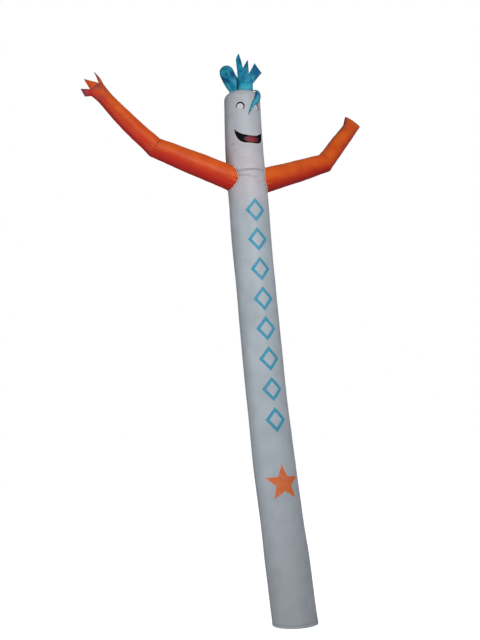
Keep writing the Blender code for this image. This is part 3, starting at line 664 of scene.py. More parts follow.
def build_crown(white):
    """Top panel, open where the hair sleeve and the thumb are sewn on."""
    rows = spaced([(CROWN_SEAM + 0.00015, TOP_MIDDLE, CROWN_STEP)])
    bearing, s = np.meshgrid(np.linspace(-np.pi, np.pi, CROWN_COLUMNS + 1), rows)
    keep = np.ones((s.shape[0] - 1, s.shape[1] - 1), bool)
    holes = ((SLEEVE_MIDDLE, SLEEVE_BASE), (THUMB_MIDDLE, (THUMB[0].half_width, THUMB[0].half_depth)))
    points = trunk_point(bearing, s)
    edge_shade = np.zeros(s.shape)
    cos, sin = np.cos(HAIR_TURN), np.sin(HAIR_TURN)
    for middle, half in holes:
        x, y = points[..., 0] + 0.254, points[..., 1]
        across, through = x * cos + y * sin - middle[0], -x * sin + y * cos - middle[1]
        size = np.hypot(across / (half[0] - HOLE_INSET), through / (half[1] - HOLE_INSET))
        inside = size < 1
        keep &= ~(inside[:-1, :-1] & inside[:-1, 1:] & inside[1:, 1:] & inside[1:, :-1])
        grown = np.maximum(size, 1e-6)
        outline = hair_place(across / grown + middle[0], through / grown + middle[1], 0.0)
        outline[..., 2] = crown_height(np.hypot(outline[..., 0] + 0.254, outline[..., 1]))
        points = np.where(inside[..., None], outline, points)
        edge_shade += ridge(np.maximum(size - 1, 0) * 0.05, 0.006)
    lift, marks = trunk_relief(bearing, s)
    points[..., 2] += lift * (1 - np.clip(edge_shade, 0, 1))
    marks[..., 0] = np.clip(marks[..., 0] + 0.4 * edge_shade, 0, 1)
    uv = np.stack([points[..., 0], points[..., 1]], -1)
    grid = Grid(points, uv, marks, keep)
    return cloth_piece("cloth_head_crown", [grid], white, ["head_crown"])


def sleeve_relief(sleeve, turn, reach):
    """Lift and marks of an arm's sleeve: gathers at its seams, creases and swells."""
    points = arm_point(sleeve, turn, reach)
    wide = smooth(sleeve.rows, reach, "half_width")
    from_root = reach - sleeve.near(sleeve, turn)
    to_end = sleeve.far(sleeve, turn) - reach
    fore = sleeve.name.endswith("fore")
    lift = 0.0016 * uneven(points, 0.34, 11) + 0.0008 * uneven(points, 0.11, 12)
    lift += 0.0016 * crumple(points, 0.16, 13) * (0.5 + 0.5 * uneven(points, 0.5, 14))
    gather = np.cos(19 * turn + 1.7 * np.sin(2 * turn))
    near_depth, near_reach = (0.0016, 0.030) if fore else (0.0034, 0.055)
    lift += near_depth * gather * np.exp(-from_root / near_reach) * (1 - ridge(from_root, 0.004))
    lift += 0.0016 * gather * np.exp(-to_end / 0.030) * (0.0 if fore else 1.0)
    # crease: painted shade in the gathers, seams, hems and creases
    crease = 0.12 * np.maximum(-gather, 0) * np.exp(-from_root / near_reach)
    crease += (0.35 if fore else 0.85) * ridge(from_root - (0.0 if fore else 0.010), 0.0055)
    crease += 0.30 * ridge(to_end, 0.004) * (0.0 if fore else 1.0)
    camera_side = 1.0 if "right" in sleeve.name else -1.0
    for seam in (12.0 * camera_side, 180.0 - 6.0 * camera_side):
        gap = np.mod(np.degrees(turn) - seam + 180.0, 360.0) - 180.0
        away = np.radians(gap) * wide
        lift += -0.0012 * ridge(away, 0.004) + 0.0007 * ridge(away, 0.02) * np.sin(2 * np.pi * reach / 0.043)
        crease += 0.55 * ridge(away, 0.0045)
    for index, row in enumerate(SLEEVE_CREASES):
        if row.piece != sleeve.name:
            continue
        middle = (row.turn + row.end_turn) / 2
        gap = np.radians(np.mod(np.degrees(turn) - middle + 180.0, 360.0) - 180.0) * wide
        half = np.radians(row.end_turn - row.turn) / 2 * np.mean(wide)
        share = crease_share(gap, reach, (-half, row.reach), (half, row.end_reach), row.width, 0.08)
        lift += row.depth * share
        crease += row.dark * share
    # Shade tint: painted purple sky reflection and shade, along one side of the right forearm and toward the left
    # hand's end
    shade_tint = np.zeros(turn.shape)
    if fore:
        lift += -0.0008 * ridge(to_end - 0.014, 0.003)
        crease += 0.45 * ridge(to_end - 0.014, 0.003)
    if sleeve.name == "arm_right_fore":
        inner = np.mod(np.degrees(turn) + 180.0, 360.0) - 180.0
        shade_tint = 0.75 * ridge(inner - 8.0, 26.0) * np.clip((reach - 0.25) / 0.3, 0, 1)
        # Painted shade near the flattened end of the right cuff
        crease += 0.5 * ridge(inner + 10.0, 20.0) * np.clip((reach - 0.66) / 0.08, 0, 1)
    if sleeve.name == "arm_left_fore":
        shade_tint = 0.55 * np.clip((reach - 0.66) / 0.14, 0, 1) * (0.5 + 0.5 * uneven(points, 0.12, 17))
    marks = np.stack([np.clip(crease, 0, 1), np.clip(shade_tint, 0, 1), np.zeros(turn.shape)], -1)
    return lift, marks


def sleeve_grid(sleeve):
    turn, share = np.meshgrid(np.linspace(0, 2 * np.pi, ARM_COLUMNS + 1), np.linspace(0, 1, ARM_ROWS + 1))
    share = share - 0.07 * np.sin(2 * np.pi * share)
    near, far = sleeve.near(sleeve, turn), sleeve.far(sleeve, turn)
    reach = near + (far - near) * share
    lift, marks = sleeve_relief(sleeve, turn, reach)
    uv = np.stack([turn * 0.11, reach], -1)
    return Grid(arm_point(sleeve, turn, reach, lift), uv, marks, None)


def tongue_grids(ring, uv, point, columns_a_side, place, shade_tint, bulge):
    """A cut point of a sleeve: cloth from part of its end ring, drawn in to its last station."""
    count = len(ring) - 1
    index = np.arange(point.first * columns_a_side, point.last * columns_a_side + 1)
    row = ring[np.mod(index, count)]
    flat = np.stack([index * (uv[1, 0] - uv[0, 0]), np.full(len(index), uv[0, 1])], -1)
    u = 1.0 - 2.0 * np.arange(len(index)) / (len(index) - 1)
    grids = []
    stations = len(point.stations)
    for number, station in enumerate(point.stations):
        tip = place(station.along + u * station.half_along, station.across + u * station.half_across,
                    np.full(len(u), station.through))
        t = np.linspace(0, 1, TONGUE_ROWS + 1)[:, None]
        points = row[None] + (tip - row)[None] * t[..., None]
        across = np.cross(row[-1] - row[0], tip.mean(0) - row.mean(0))
        across /= max(np.linalg.norm(across), 1e-9)
        total = (number + t) / stations
        swell = bulge * np.sin(np.pi * t) * (1 - u[None] ** 2)
        swell += 0.35 * bulge * np.sin(np.pi * t) * np.sin(5.0 * u[None] + 4.0 * t)
        points = points + swell[..., None] * across
        length = np.linalg.norm(tip.mean(0) - row.mean(0))
        flat_rows = np.stack(np.broadcast_arrays(flat[None, :, 0], flat[None, :, 1] + length * t), -1)
        # Painted shade along each point's sides, and a painted shade tint that grows toward its tip
        edge = ridge(1 - np.abs(u[None]), 0.16) * np.ones_like(t)
        share = np.broadcast_to(shade_tint * total, edge.shape)
        grids.append(Grid(points, flat_rows, np.stack([0.7 * edge, share, np.zeros(edge.shape)], -1), None))
        row = points[-1]
        flat = flat_rows[-1]
    return grids


def build_arms(orange):
    pieces = {}
    for name, sleeve in SLEEVES.items():
        grids = [sleeve_grid(sleeve)]
        if name == "arm_left_fore":
            ring, uv = grids[0].points[-1], grids[0].uv[-1]
            place = lambda along, across, through: (
                sleeve.origin + along[:, None] * sleeve.direction + across[:, None] * sleeve.up
                + through[:, None] * sleeve.side)
            # How much painted purple sky reflection and shade each finger gets, most on the first and last
            for point, shade_tint in zip(FINGERS, (0.9, 0.15, 1.0)):
                grids += tongue_grids(ring, uv, point, ARM_COLUMNS // ARM_SIDES, place, shade_tint, 0.006)
        pieces[name] = cloth_piece("cloth_" + name, grids, orange, [name])
    return pieces


def hair_sleeve_point(column, t, extra=0.0):
    """A point of the hair sleeve, from its seam on the crown, t = 0, to its cut edge, t = 1."""
    turn = 2 * np.pi * column / HAIR_SIDES
    pucker = 0.0025 * np.cos(8 * turn) * (1.0 - np.abs(2 * t - 1)) + extra
    wide = SLEEVE_BASE[0] + (SLEEVE_TOP[0] - SLEEVE_BASE[0]) * t + pucker
    deep = SLEEVE_BASE[1] + (SLEEVE_TOP[1] - SLEEVE_BASE[1]) * t + pucker
    across = SLEEVE_MIDDLE[0] + SLEEVE_TOP_SHIFT * t + wide * np.cos(turn)
    through = SLEEVE_MIDDLE[1] + deep * np.sin(turn)
    base = crown_height(np.hypot(across, through)) - HAIR_SINK
    edge = smooth(SLEEVE_EDGE, np.mod(column, HAIR_SIDES), "height")
    return hair_place(across, through, base + (edge - base) * t)


def build_hair_sleeve(teal):
    column, t = np.meshgrid(np.linspace(0, HAIR_SIDES, HAIR_COLUMNS + 1), np.linspace(0, 1, 44))
    plain = hair_sleeve_point(column, t)
    turn = 2 * np.pi * column / HAIR_SIDES
    fold = np.cos(15 * turn + 1.4 * np.sin(3 * turn))
    lift = 0.0022 * fold * np.exp(-t / 0.30) + 0.0034 * crumple(plain, 0.12, 21) * np.sin(np.pi * t) ** 0.5
    points = hair_sleeve_point(column, t, lift)
    # Painted shade at the seam on the crown, in the gathers and dimples, and down the side lines
    crease = 0.5 * ridge(t, 0.04) + 0.25 * np.maximum(-fold, 0) * np.exp(-t / 0.25)
    crease += 0.22 * ridge(uneven(plain, 0.12, 21), 0.20) * t
    for side in (0.0, HAIR_SIDES / 2, HAIR_SIDES):
        crease += 0.55 * ridge((column - side) * 0.0125, 0.012) * t
    # Painted shade: deep blue patches, more toward the cut edge
    shade_tint = np.clip(0.5 * uneven(plain, 0.12, 22), 0, 1) * t
    uv = np.stack([turn * 0.065, plain[..., 2] - CROWN_TOP], -1)
    grids = [Grid(points, uv, np.stack([np.clip(crease, 0, 1), shade_tint, np.zeros(t.shape)], -1), None)]
    place = lambda height, across, through: hair_place(across, through, height)
    for point in HAIR_POINTS:
        grids += tongue_grids(points[-1], uv[-1], point, HAIR_COLUMNS // HAIR_SIDES, place, 0.8, 0.007)
    return cloth_piece("cloth_hair_sleeve", grids, teal, ["hair_sleeve"])


def thumb_points(turn, reach, scale, beyond, extra=0.0):
    """Points of the closed lobe: level where it is sewn on, then square to its lean."""
    level = smooth(THUMB, reach, "level")
    lean = THUMB_LEAN * (1.0 - level)
    run = reach + beyond
    wide = (smooth(THUMB, reach, "half_width") * scale + extra) * np.cos(turn)
    through = (smooth(THUMB, reach, "half_depth") * scale + extra) * np.sin(turn)
    across = THUMB_MIDDLE[0] - np.sin(THUMB_LEAN) * run + wide * np.cos(lean)
    depth = THUMB_MIDDLE[1] * (1.0 - reach) + through
    low = crown_height(np.hypot(across, depth)) - HAIR_SINK
    seat = CROWN_TOP + (low - CROWN_TOP) * np.clip((level - 0.7) / 0.3, 0, 1)
    return hair_place(across, depth, seat + np.cos(THUMB_LEAN) * run + wide * np.sin(lean))


def build_thumb(teal):
    last = THUMB[-1]
    side_rows, dome_rows = 60, 22
    reach = np.concatenate([np.linspace(0, last.reach, side_rows, endpoint=False), np.full(dome_rows, last.reach)])
    dome = np.concatenate([np.zeros(side_rows), np.linspace(0, np.pi / 2, dome_rows)])
    turn, reach_grid = np.meshgrid(np.linspace(0, 2 * np.pi, THUMB_COLUMNS + 1), reach)
    dome_grid = np.broadcast_to(dome[:, None], turn.shape)
    scale, beyond = np.cos(dome_grid), last.half_width * np.sin(dome_grid)
    plain = thumb_points(turn, reach_grid, scale, beyond)
    fold = np.cos(14 * turn + 1.2 * np.sin(2 * turn))
    up_fade = np.exp(-reach_grid / 0.055)
    lift = 0.0026 * fold * up_fade + 0.0040 * crumple(plain, 0.15, 31) + 0.0026 * uneven(plain, 0.16, 32)
    fold_top = np.cos(9 * turn + 1.1 * np.sin(2 * turn)) * np.sin(2 * dome_grid) * 0.0020
    lift = (lift + fold_top) * scale
    # Painted shade at the seam on the crown, in the gathers and dimples, down both sides and round the dome
    crease = 0.6 * ridge(reach_grid, 0.006) + 0.35 * np.maximum(-fold, 0) * up_fade
    crease += 0.22 * ridge(uneven(plain, 0.15, 31), 0.16)
    for seam in (0.0, 180.0, 360.0):
        away = np.radians(np.degrees(turn) - seam) * 0.077
        lift -= 0.0010 * ridge(away, 0.004) * scale
        crease += 0.30 * ridge(away, 0.0045) + 0.50 * ridge(away, 0.016)
    crease += 0.40 * ridge(np.cos(dome_grid), 0.45) * (dome_grid > 0) * np.abs(np.cos(turn))
    # Painted shade: random deep blue patches
    shade_tint = np.clip(0.15 + 0.75 * uneven(plain, 0.10, 33), 0, 1)
    uv = np.stack([turn * 0.072, reach_grid + last.half_width * dome_grid], -1)
    marks = np.stack([np.clip(crease, 0, 1), shade_tint, np.zeros(turn.shape)], -1)
    grid = Grid(thumb_points(turn, reach_grid, scale, beyond, lift), uv, marks, None)
    return cloth_piece("cloth_hair_thumb", [grid], teal, ["hair_thumb"])


def catmull(rows, steps):
    """Rows of points between the given rows, on smooth curves through them."""
    ends = np.concatenate([[2 * rows[0] - rows[1]], rows, [2 * rows[-1] - rows[-2]]])
    made = []
    for a, b, c, d in zip(ends, ends[1:], ends[2:], ends[3:]):
        for t in np.linspace(0, 1, steps, endpoint=False):
            made.append(0.5 * (2 * b + (c - a) * t + (2 * a - 5 * b + 4 * c - d) * t**2
                               + (3 * b - a - 3 * c + d) * t**3))
    return np.array(made + [rows[-1]])


def build_strand(teal):
    """The flat strip of hair that falls over the head's shoulder and down across the face."""
    share = np.linspace(0, 1, STRAND_COLUMNS + 1)
    column = STRAND_ROOT_FIRST + (STRAND_ROOT_LAST - STRAND_ROOT_FIRST) * share
    low = hair_sleeve_point(column, np.zeros(len(column)))[:, 2]
    high = smooth(SLEEVE_EDGE, np.mod(column, HAIR_SIDES), "height")
    u = 2 * share - 1
    root = STRAND_ROOT_HEIGHT + u * STRAND_ROOT_RISE
    rows = [hair_sleeve_point(column, (root - low) / (high - low), 0.001)]
    for row in STRAND:
        bearing = np.radians(row.bearing - u * row.half_turn)
        height = row.height - u * row.half_rise
        drift = smooth(TRUNK, height, "drift")
        rows.append(np.stack([drift + row.radius * np.sin(bearing), -row.radius * np.cos(bearing), height], -1))
    points = catmull(np.array(rows), 11)[::-1]
    count = len(points)
    v = np.linspace(1, 0, count)[:, None]
    wave = 0.0022 * np.cos(3.1 * u[None] + 7.0 * v) * np.sin(np.pi * v) + 0.0030 * (1 - u[None] ** 2) * np.sin(np.pi * v)
    axis = np.array([-0.256, 0.0])
    out = points[..., :2] - axis
    out /= np.linalg.norm(out, axis=-1)[..., None]
    points = points.copy()
    points[..., :2] += out * wave[..., None]
    # Painted shade along the strip's edges, across it near the root and on a slanting fold; painted blue shade toward
    # its edges
    crease = 0.55 * ridge(1 - np.abs(u[None]), 0.14) * np.ones_like(v) + 0.45 * ridge(v - 0.14, 0.03)
    crease = crease + 0.30 * ridge(u[None] + 0.35 - 0.5 * v, 0.10)
    shade_tint = np.clip(1 - 2.2 * ridge(u[None] - 0.1 * np.sin(6 * v), 0.55), 0, 1) * np.ones_like(v)
    step = np.linalg.norm(np.diff(points, axis=0), axis=-1).mean(1)
    along = np.concatenate([[0.0], step.cumsum()])[:, None]
    uv = np.stack(np.broadcast_arrays(u[None] * 0.045, along), -1)
    marks = np.stack([np.clip(crease, 0, 1), shade_tint, np.zeros(shade_tint.shape)], -1)
    grid = Grid(points, uv, marks, None)
    return cloth_piece("cloth_hair_strand", [grid], teal, ["hair_strand"], offset=1.0)


# Lifts of the face patches off the head panel, by layer
PATCH_LIFTS = (0.0005, 0.0018)


def patch_grid(degrees, height, layer, marks=None):
    bearing = np.radians(degrees)
    points = trunk_cloth(bearing, height, PATCH_LIFTS[layer])
    uv = np.stack([bearing * CLOTH_RADIUS, height], -1)
    return Grid(points, uv, np.zeros(points.shape) if marks is None else marks, None)


def eye_place(bearing, reach, turn):
    across = np.degrees(reach * np.cos(turn) / smooth(TRUNK, EYE_HEIGHT, "radius"))
    return bearing + across, EYE_HEIGHT + reach * np.sin(turn)


def disc_grid(bearing, radius, layer, rings):
    turn, share = np.meshgrid(np.linspace(0, 2 * np.pi, 65), np.linspace(1, 0, rings))
    degrees, height = eye_place(bearing, radius * share, turn)
    marks = np.stack([0.55 * ridge((1 - share) * radius, 0.0022), np.zeros(share.shape), np.zeros(share.shape)], -1)
    return patch_grid(degrees, height, layer, marks)


def build_eye(side, black, white, grey):
    bearing = EYE_BEARINGS[side]
    t, w = np.meshgrid(np.linspace(0, 1, 73), np.linspace(0, 1, 9))
    width = EYE_RIM_END_WIDTH + (EYE_RIM_WIDTH - EYE_RIM_END_WIDTH) * np.sin(np.pi * t)
    turn = np.radians(EYE_RIM_START + (EYE_RIM_END - EYE_RIM_START) * t)
    degrees, height = eye_place(bearing, EYE_RIM_RADIUS - width * w, turn)
    pieces = {}
    for part, grid, look, slot in (
        ("rim", patch_grid(degrees, height, 0), black, "black_patch"),
        ("white", disc_grid(bearing, EYE_WHITE_RADIUS, 0, 18), white, "white_patch"),
        ("pupil", disc_grid(bearing, PUPIL_RADIUS, 1, 10), grey, "grey_patch"),
    ):
        node = f"eye_{side}_{part}"
        pieces[node] = cloth_piece("patch_" + node, [grid], look, [node], 1.0, PATCH_CLOTH)
    return pieces


def band_grid(rows, columns, count, layer, fade=False):
    share, rise = np.meshgrid(np.linspace(0, 1, columns), np.linspace(0, 1, count))
    degrees = rows[0].bearing + (rows[-1].bearing - rows[0].bearing) * share
    low, high = smooth(rows, degrees, "bottom"), smooth(rows, degrees, "top")
    marks = np.zeros((*share.shape, 3))
    if fade:
        marks[..., 0] = np.clip(ridge(share, 0.22) + ridge(1 - share, 0.22) + 0.6 * ridge(rise - 1, 0.3), 0, 1)
    return patch_grid(degrees, low + (high - low) * rise, layer, marks)


def build_mouth(black, red):
    dark = band_grid(MOUTH, 145, 19, 0)
    tongue = band_grid(TONGUE, 81, 15, 1, fade=True)
    return {
        "mouth_dark": cloth_piece("patch_mouth_dark", [dark], black, ["mouth_dark"], 1.0, PATCH_CLOTH),
        "mouth_tongue": cloth_piece(
            "patch_mouth_tongue", [tongue], red, ["mouth_tongue"], 1.0, PATCH_CLOTH),
    }


def mouth_outline(count, inset):
    """Closed line round the mouth patch, a little inside or outside its edge, with its normals."""
    share = np.linspace(0, 1, count)
    degrees = MOUTH[0].bearing + (MOUTH[-1].bearing - MOUTH[0].bearing) * share
    low, high = smooth(MOUTH, degrees, "bottom") + inset, smooth(MOUTH, degrees, "top") - inset
    degrees = np.concatenate([degrees, degrees[::-1][1:-1]])
    height = np.concatenate([low, high[::-1][1:-1]])
    bearing = np.radians(degrees)
    return trunk_cloth(bearing, height, PATCH_LIFTS[0] + PATCH_CLOTH), trunk_normal(bearing, height)


def build_edging(pale, cream):
    """Pale edging round the mouth, and the cream piping at both arm roots."""
    points, normals = mouth_outline(180, -0.002)
    grids = [tube_grid(points, normals, 0.0032)]
    pieces = [add_object("mouth_edging", cloth_mesh("mouth_edging", grids), pale)]
    for arm in ARMS:
        sleeve = SLEEVES[f"arm_{arm.name}_upper"]
        turn = np.linspace(0, 2 * np.pi, 161)[:-1]
        reach = bisect(lambda a: trunk_distance(arm_point(sleeve, turn, a)) - 0.0015,
                       np.full(turn.shape, 0.05), np.full(turn.shape, 0.45))
        out = np.cos(turn)[:, None] * sleeve.up + np.sin(turn)[:, None] * sleeve.side
        points = arm_point(sleeve, turn, reach, 0.0025)
        name = f"piping_{arm.name}"
        grids = [tube_grid(points, out, 0.0040)]
        pieces.append(add_object(name, cloth_mesh(name, grids), cream))
    return pieces


Seam = namedtuple("Seam", "points normals")


def stitch_mesh(name, seams, pitch, length, width, height):
    """Short raised stitches along seams, each a small lozenge, joined in one mesh."""
    verts, faces = [], []
    for seam in seams:
        steps = np.linalg.norm(np.diff(seam.points, axis=0), axis=-1)
        along = np.concatenate([[0.0], steps.cumsum()])
        places = np.arange(pitch / 2, along[-1], pitch)
        middle = np.stack([np.interp(places, along, seam.points[:, k]) for k in range(3)], -1)
        normal = np.stack([np.interp(places, along, seam.normals[:, k]) for k in range(3)], -1)
        ahead = np.stack([np.interp(places + pitch / 4, along, seam.points[:, k]) for k in range(3)], -1)
        behind = np.stack([np.interp(places - pitch / 4, along, seam.points[:, k]) for k in range(3)], -1)
        tangent = ahead - behind
        tangent /= np.maximum(np.linalg.norm(tangent, axis=-1), 1e-9)[:, None]
        across = np.cross(normal, tangent)
        for m, n, t, a in zip(middle, normal, tangent, across):
            first = len(verts)
            verts += [m - t * length / 2, m + a * width / 2, m + t * length / 2, m - a * width / 2]
            verts += [m + n * height, m - n * height]
            for i in range(4):
                j = (i + 1) % 4
                faces.append((first + j, first + i, first + 4))
                faces.append((first + i, first + j, first + 5))
    mesh = bpy.data.meshes.new(name)
    mesh.from_pydata([tuple(v) for v in verts], [], faces)
    return mesh


def trunk_seam(degrees, s):
    degrees, s = np.broadcast_arrays(np.asarray(degrees, float), np.asarray(s, float))
    bearing = np.radians(degrees)
    return Seam(trunk_cloth(bearing, s, 0.0002), trunk_normal(bearing, s))


def sleeve_seam(sleeve, turn, reach):
    lift = sleeve_relief(sleeve, turn, reach)[0]
    out = np.cos(turn)[:, None] * sleeve.up + np.sin(turn)[:, None] * sleeve.side
    return Seam(arm_point(sleeve, turn, reach, lift + 0.0002), out)


def build_stitches(pale, orange_thread, dark):
    """Sewing lines of the body, the sleeves and the face patches."""
    rows = spaced([(0.004, CROWN_SEAM - 0.004, 0.01)])
    apart = np.degrees(0.0065 / CLOTH_RADIUS)
    seams = []
    for side in (-90.0, 90.0):
        for offset in (-apart, apart):
            seam = trunk_seam(side + offset, rows)
            gap = np.minimum(*(beyond_sleeve(seam.points, SLEEVES[f"arm_{arm.name}_upper"])[0] for arm in ARMS))
            clear = gap > 0.006
            breaks = np.nonzero(np.diff(clear.astype(int)))[0] + 1
            for part in np.split(np.arange(len(rows)), breaks):
                if clear[part[0]] and len(part) > 2:
                    seams.append(Seam(seam.points[part], seam.normals[part]))
    ring = np.linspace(-180.0, 180.0, 721)
    for s in (HEM_HEIGHT - 0.004, HEM_HEIGHT - 0.011, CROWN_SEAM - 0.006, CROWN_SEAM + 0.006):
        seams.append(trunk_seam(ring, s))
    for s in (NECK_SEAM - 0.006, NECK_SEAM + 0.006):
        seam = trunk_seam(ring, s)
        gap = np.minimum(*(beyond_sleeve(seam.points, SLEEVES[f"arm_{arm.name}_upper"])[0] for arm in ARMS))
        clear = gap > 0.006
        breaks = np.nonzero(np.diff(clear.astype(int)))[0] + 1
        for part in np.split(np.arange(len(ring)), breaks):
            if clear[part[0]] and len(part) > 2:
                seams.append(Seam(seam.points[part], seam.normals[part]))
    made = [add_object("stitches_white", stitch_mesh("stitches_white", seams, 0.0075, 0.0048, 0.0011, 0.0005),
                       pale)]
    seams = []
    turn = np.linspace(0, 2 * np.pi, 241)
    for sleeve in SLEEVES.values():
        near, far = sleeve.near(sleeve, turn), sleeve.far(sleeve, turn)
        upper = sleeve.edge is None and sleeve.name.endswith("upper")
        seams.append(sleeve_seam(sleeve, turn, near + (0.016 if upper else 0.006)))
        seams.append(sleeve_seam(sleeve, turn, far - (0.006 if upper else 0.012)))
    made.append(add_object("stitches_orange", stitch_mesh("stitches_orange", seams, 0.0075, 0.0048, 0.0011, 0.0005),
                           orange_thread))
    seams = []
    points, normals = mouth_outline(160, 0.0035)
    seams.append(Seam(np.concatenate([points, points[:1]]), np.concatenate([normals, normals[:1]])))
    turn = np.linspace(0, 2 * np.pi, 97)
    for bearing in EYE_BEARINGS.values():
        degrees, height = eye_place(bearing, EYE_WHITE_RADIUS - 0.0022, turn)
        bearings = np.radians(degrees)
        lifted = trunk_cloth(bearings, height, PATCH_LIFTS[0] + PATCH_CLOTH)
        seams.append(Seam(lifted, trunk_normal(bearings, height)))
    made.append(add_object("stitches_face", stitch_mesh("stitches_face", seams, 0.0055, 0.0036, 0.0009, 0.0004),
                           dark))
    return made


# Colours, linear
WHITE = (0.475, 0.530, 0.580)
WHITE_MAUVE = (0.56, 0.53, 0.57)
# Painted shade: the body's cloth darker toward the bottom
WHITE_LOW_SHADE = (0.42, 0.45, 0.49)
WHITE_SHADE = (0.09, 0.09, 0.11)
WHITE_TINT = (0.42, 0.46, 0.52)
ORANGE = (0.82, 0.128, 0.012)
# Painted shade: deep red of the orange cloth where it faces down
ORANGE_UNDERSIDE_SHADE = (0.56, 0.020, 0.012)
ORANGE_SHADE = (0.060, 0.006, 0.010)
# Painted purple sky reflection in the shade of the orange sleeves
ORANGE_SKY_SHADE = (0.105, 0.030, 0.085)
TEAL = (0.008, 0.30, 0.48)
# Painted highlight of the hair
TEAL_HIGHLIGHT = (0.07, 0.50, 0.64)
TEAL_SHADE = (0.002, 0.018, 0.060)
# Painted shade: deep blue of the hair's folds and dimples
TEAL_BLUE_SHADE = (0.002, 0.080, 0.21)
TEAL_GREEN = (0.008, 0.25, 0.26)
MOTIF_TEAL = (0.040, 0.33, 0.50)
MOTIF_ORANGE = (0.80, 0.17, 0.030)
BLACK = (0.005, 0.006, 0.009)
PATCH_WHITE = (0.78, 0.79, 0.82)
GREY = (0.62, 0.54, 0.59)
GREY_SHADE = (0.26, 0.18, 0.23)
RED = (0.28, 0.028, 0.045)
CREAM = (0.80, 0.70, 0.56)
EDGING = (0.82, 0.80, 0.72)

# Weave: threads' pitch, and the thicker threads that stop a tear
THREAD_PITCH = 0.0008
RIPSTOP_PITCH = 0.0055
RIPSTOP_WIDTH = 0.10

# Plain motifs down the front: a column of open lozenges and, under it, a star
LOZENGE_LOW = 1.90
LOZENGE_PITCH = 0.31
LOZENGE_COUNT = 8
LOZENGE_HALF_WIDTH = 0.110
LOZENGE_HALF_HEIGHT = 0.128
LOZENGE_STROKE = 0.20
STAR_HEIGHT = 1.42
STAR_RADIUS = 0.190
STAR_ARMS = 5
STAR_NOTCH = 0.42


class Tree:
    """The nodes of one material, with short calls that add and link them."""

    def __init__(self, name):
        self.material = bpy.data.materials.new(name)
        self.material.use_nodes = True
        self.nodes = self.material.node_tree.nodes
        self.links = self.material.node_tree.links
        self.shader = self.nodes["Principled BSDF"]

    def add(self, kind, inputs=(), **settings):
        node = self.nodes.new(kind)
        for key, value in settings.items():
            setattr(node, key, value)
        for key, value in dict(inputs).items():
            if isinstance(value, bpy.types.NodeSocket):
                self.links.new(value, node.inputs[key])
            else:
                node.inputs[key].default_value = value
        return node

    def math(self, operation, *values):
        return self.add("ShaderNodeMath", dict(enumerate(values)), operation=operation).outputs[0]

    def mix(self, share, first, second, mode="MIX"):
        """Colour between two, each a colour or a socket."""
        inputs = {0: share}
        for key, value in ((6, first), (7, second)):
            inputs[key] = value if isinstance(value, bpy.types.NodeSocket) else (*value, 1.0)
        return self.add("ShaderNodeMix", inputs, data_type="RGBA", blend_type=mode).outputs[2]

    def ramp(self, value, low, high, start=0.0, end=1.0):
        inputs = {0: value, 1: low, 2: high, 3: start, 4: end}
        return self.add("ShaderNodeMapRange", inputs, interpolation_type="SMOOTHSTEP").outputs[0]

    def noise(self, vector, scale, detail=3.0):
        return self.add("ShaderNodeTexNoise", {"Vector": vector, "Scale": scale, "Detail": detail}).outputs[0]

    def place(self):
        return self.add("ShaderNodeTexCoord").outputs["Object"]

    def cloth_uv(self):
        uv = self.add("ShaderNodeUVMap", uv_map="cloth").outputs[0]
        split = self.add("ShaderNodeSeparateXYZ", {0: uv})
        return uv, split.outputs[0], split.outputs[1]

    def marks(self):
        vector = self.add("ShaderNodeAttribute", attribute_name="marks").outputs["Vector"]
        return self.add("ShaderNodeSeparateXYZ", {0: vector}).outputs

    def set(self, **values):
        for key, value in values.items():
            self.shader.inputs[key.replace("_", " ")].default_value = value

    def finish(self, colour, height, strength, distance):
        self.links.new(colour, self.shader.inputs["Base Color"])
        bump = self.add("ShaderNodeBump", {"Strength": strength, "Distance": distance, "Height": height})
        self.links.new(bump.outputs[0], self.shader.inputs["Normal"])
        return self.material


def grid_lines(tree, u, v):
    """1 on the thicker threads that cross the weave both ways."""
    lines = []
    for value in (u, v):
        share = tree.math("FRACT", tree.math("DIVIDE", value, RIPSTOP_PITCH))
        away = tree.math("ABSOLUTE", tree.math("SUBTRACT", share, 0.5))
        lines.append(tree.ramp(away, 0.5 - RIPSTOP_WIDTH, 0.5))
    return tree.math("MAXIMUM", *lines)


def weave_height(tree, u, v, lines):
    """Height of the weave: fine threads over and under, the ripstop grid and a little crumple."""
    threads = []
    for value in (u, v):
        threads.append(tree.math("SINE", tree.math("MULTIPLY", value, 2 * np.pi / THREAD_PITCH)))
    woven = tree.math("MULTIPLY", *threads)
    crumpled = tree.noise(tree.place(), 38.0, 4.0)
    total = tree.math("MULTIPLY_ADD", woven, 0.06, tree.math("MULTIPLY", lines, 0.35))
    return tree.math("MULTIPLY_ADD", crumpled, 1.6, total)


def cloth_material(name, colour_of, shade, shade_tint, roughness, gloss, sheen=0.0, coat=0.0, bump=0.35):
    """Light woven cloth: colour_of gives its plain colour, marks add painted crease shade and a painted shade and
    reflection tint.
    """
    tree = Tree(name)
    _, u, v = tree.cloth_uv()
    crease, shade_tinted, _ = tree.marks()
    lines = grid_lines(tree, u, v)
    colour = colour_of(tree, u, v)
    colour = tree.mix(tree.math("MULTIPLY", lines, 0.10), colour, shade)
    streaks = tree.noise(tree.place(), 7.0, 5.0)
    colour = tree.mix(tree.ramp(streaks, 0.42, 0.68, 0.0, 0.10), colour, shade)
    # Painted shade and reflection: the marks' tint, then the shade of creases and seams
    colour = tree.mix(shade_tinted, colour, shade_tint)
    colour = tree.mix(tree.math("MULTIPLY", crease, 0.85), colour, shade)
    tree.set(Roughness=roughness, Specular_IOR_Level=gloss, Coat_Weight=coat, Coat_Roughness=0.25)
    tree.set(Sheen_Weight=sheen, Sheen_Roughness=0.4)
    return tree.finish(colour, weave_height(tree, u, v, lines), bump, 0.0012)


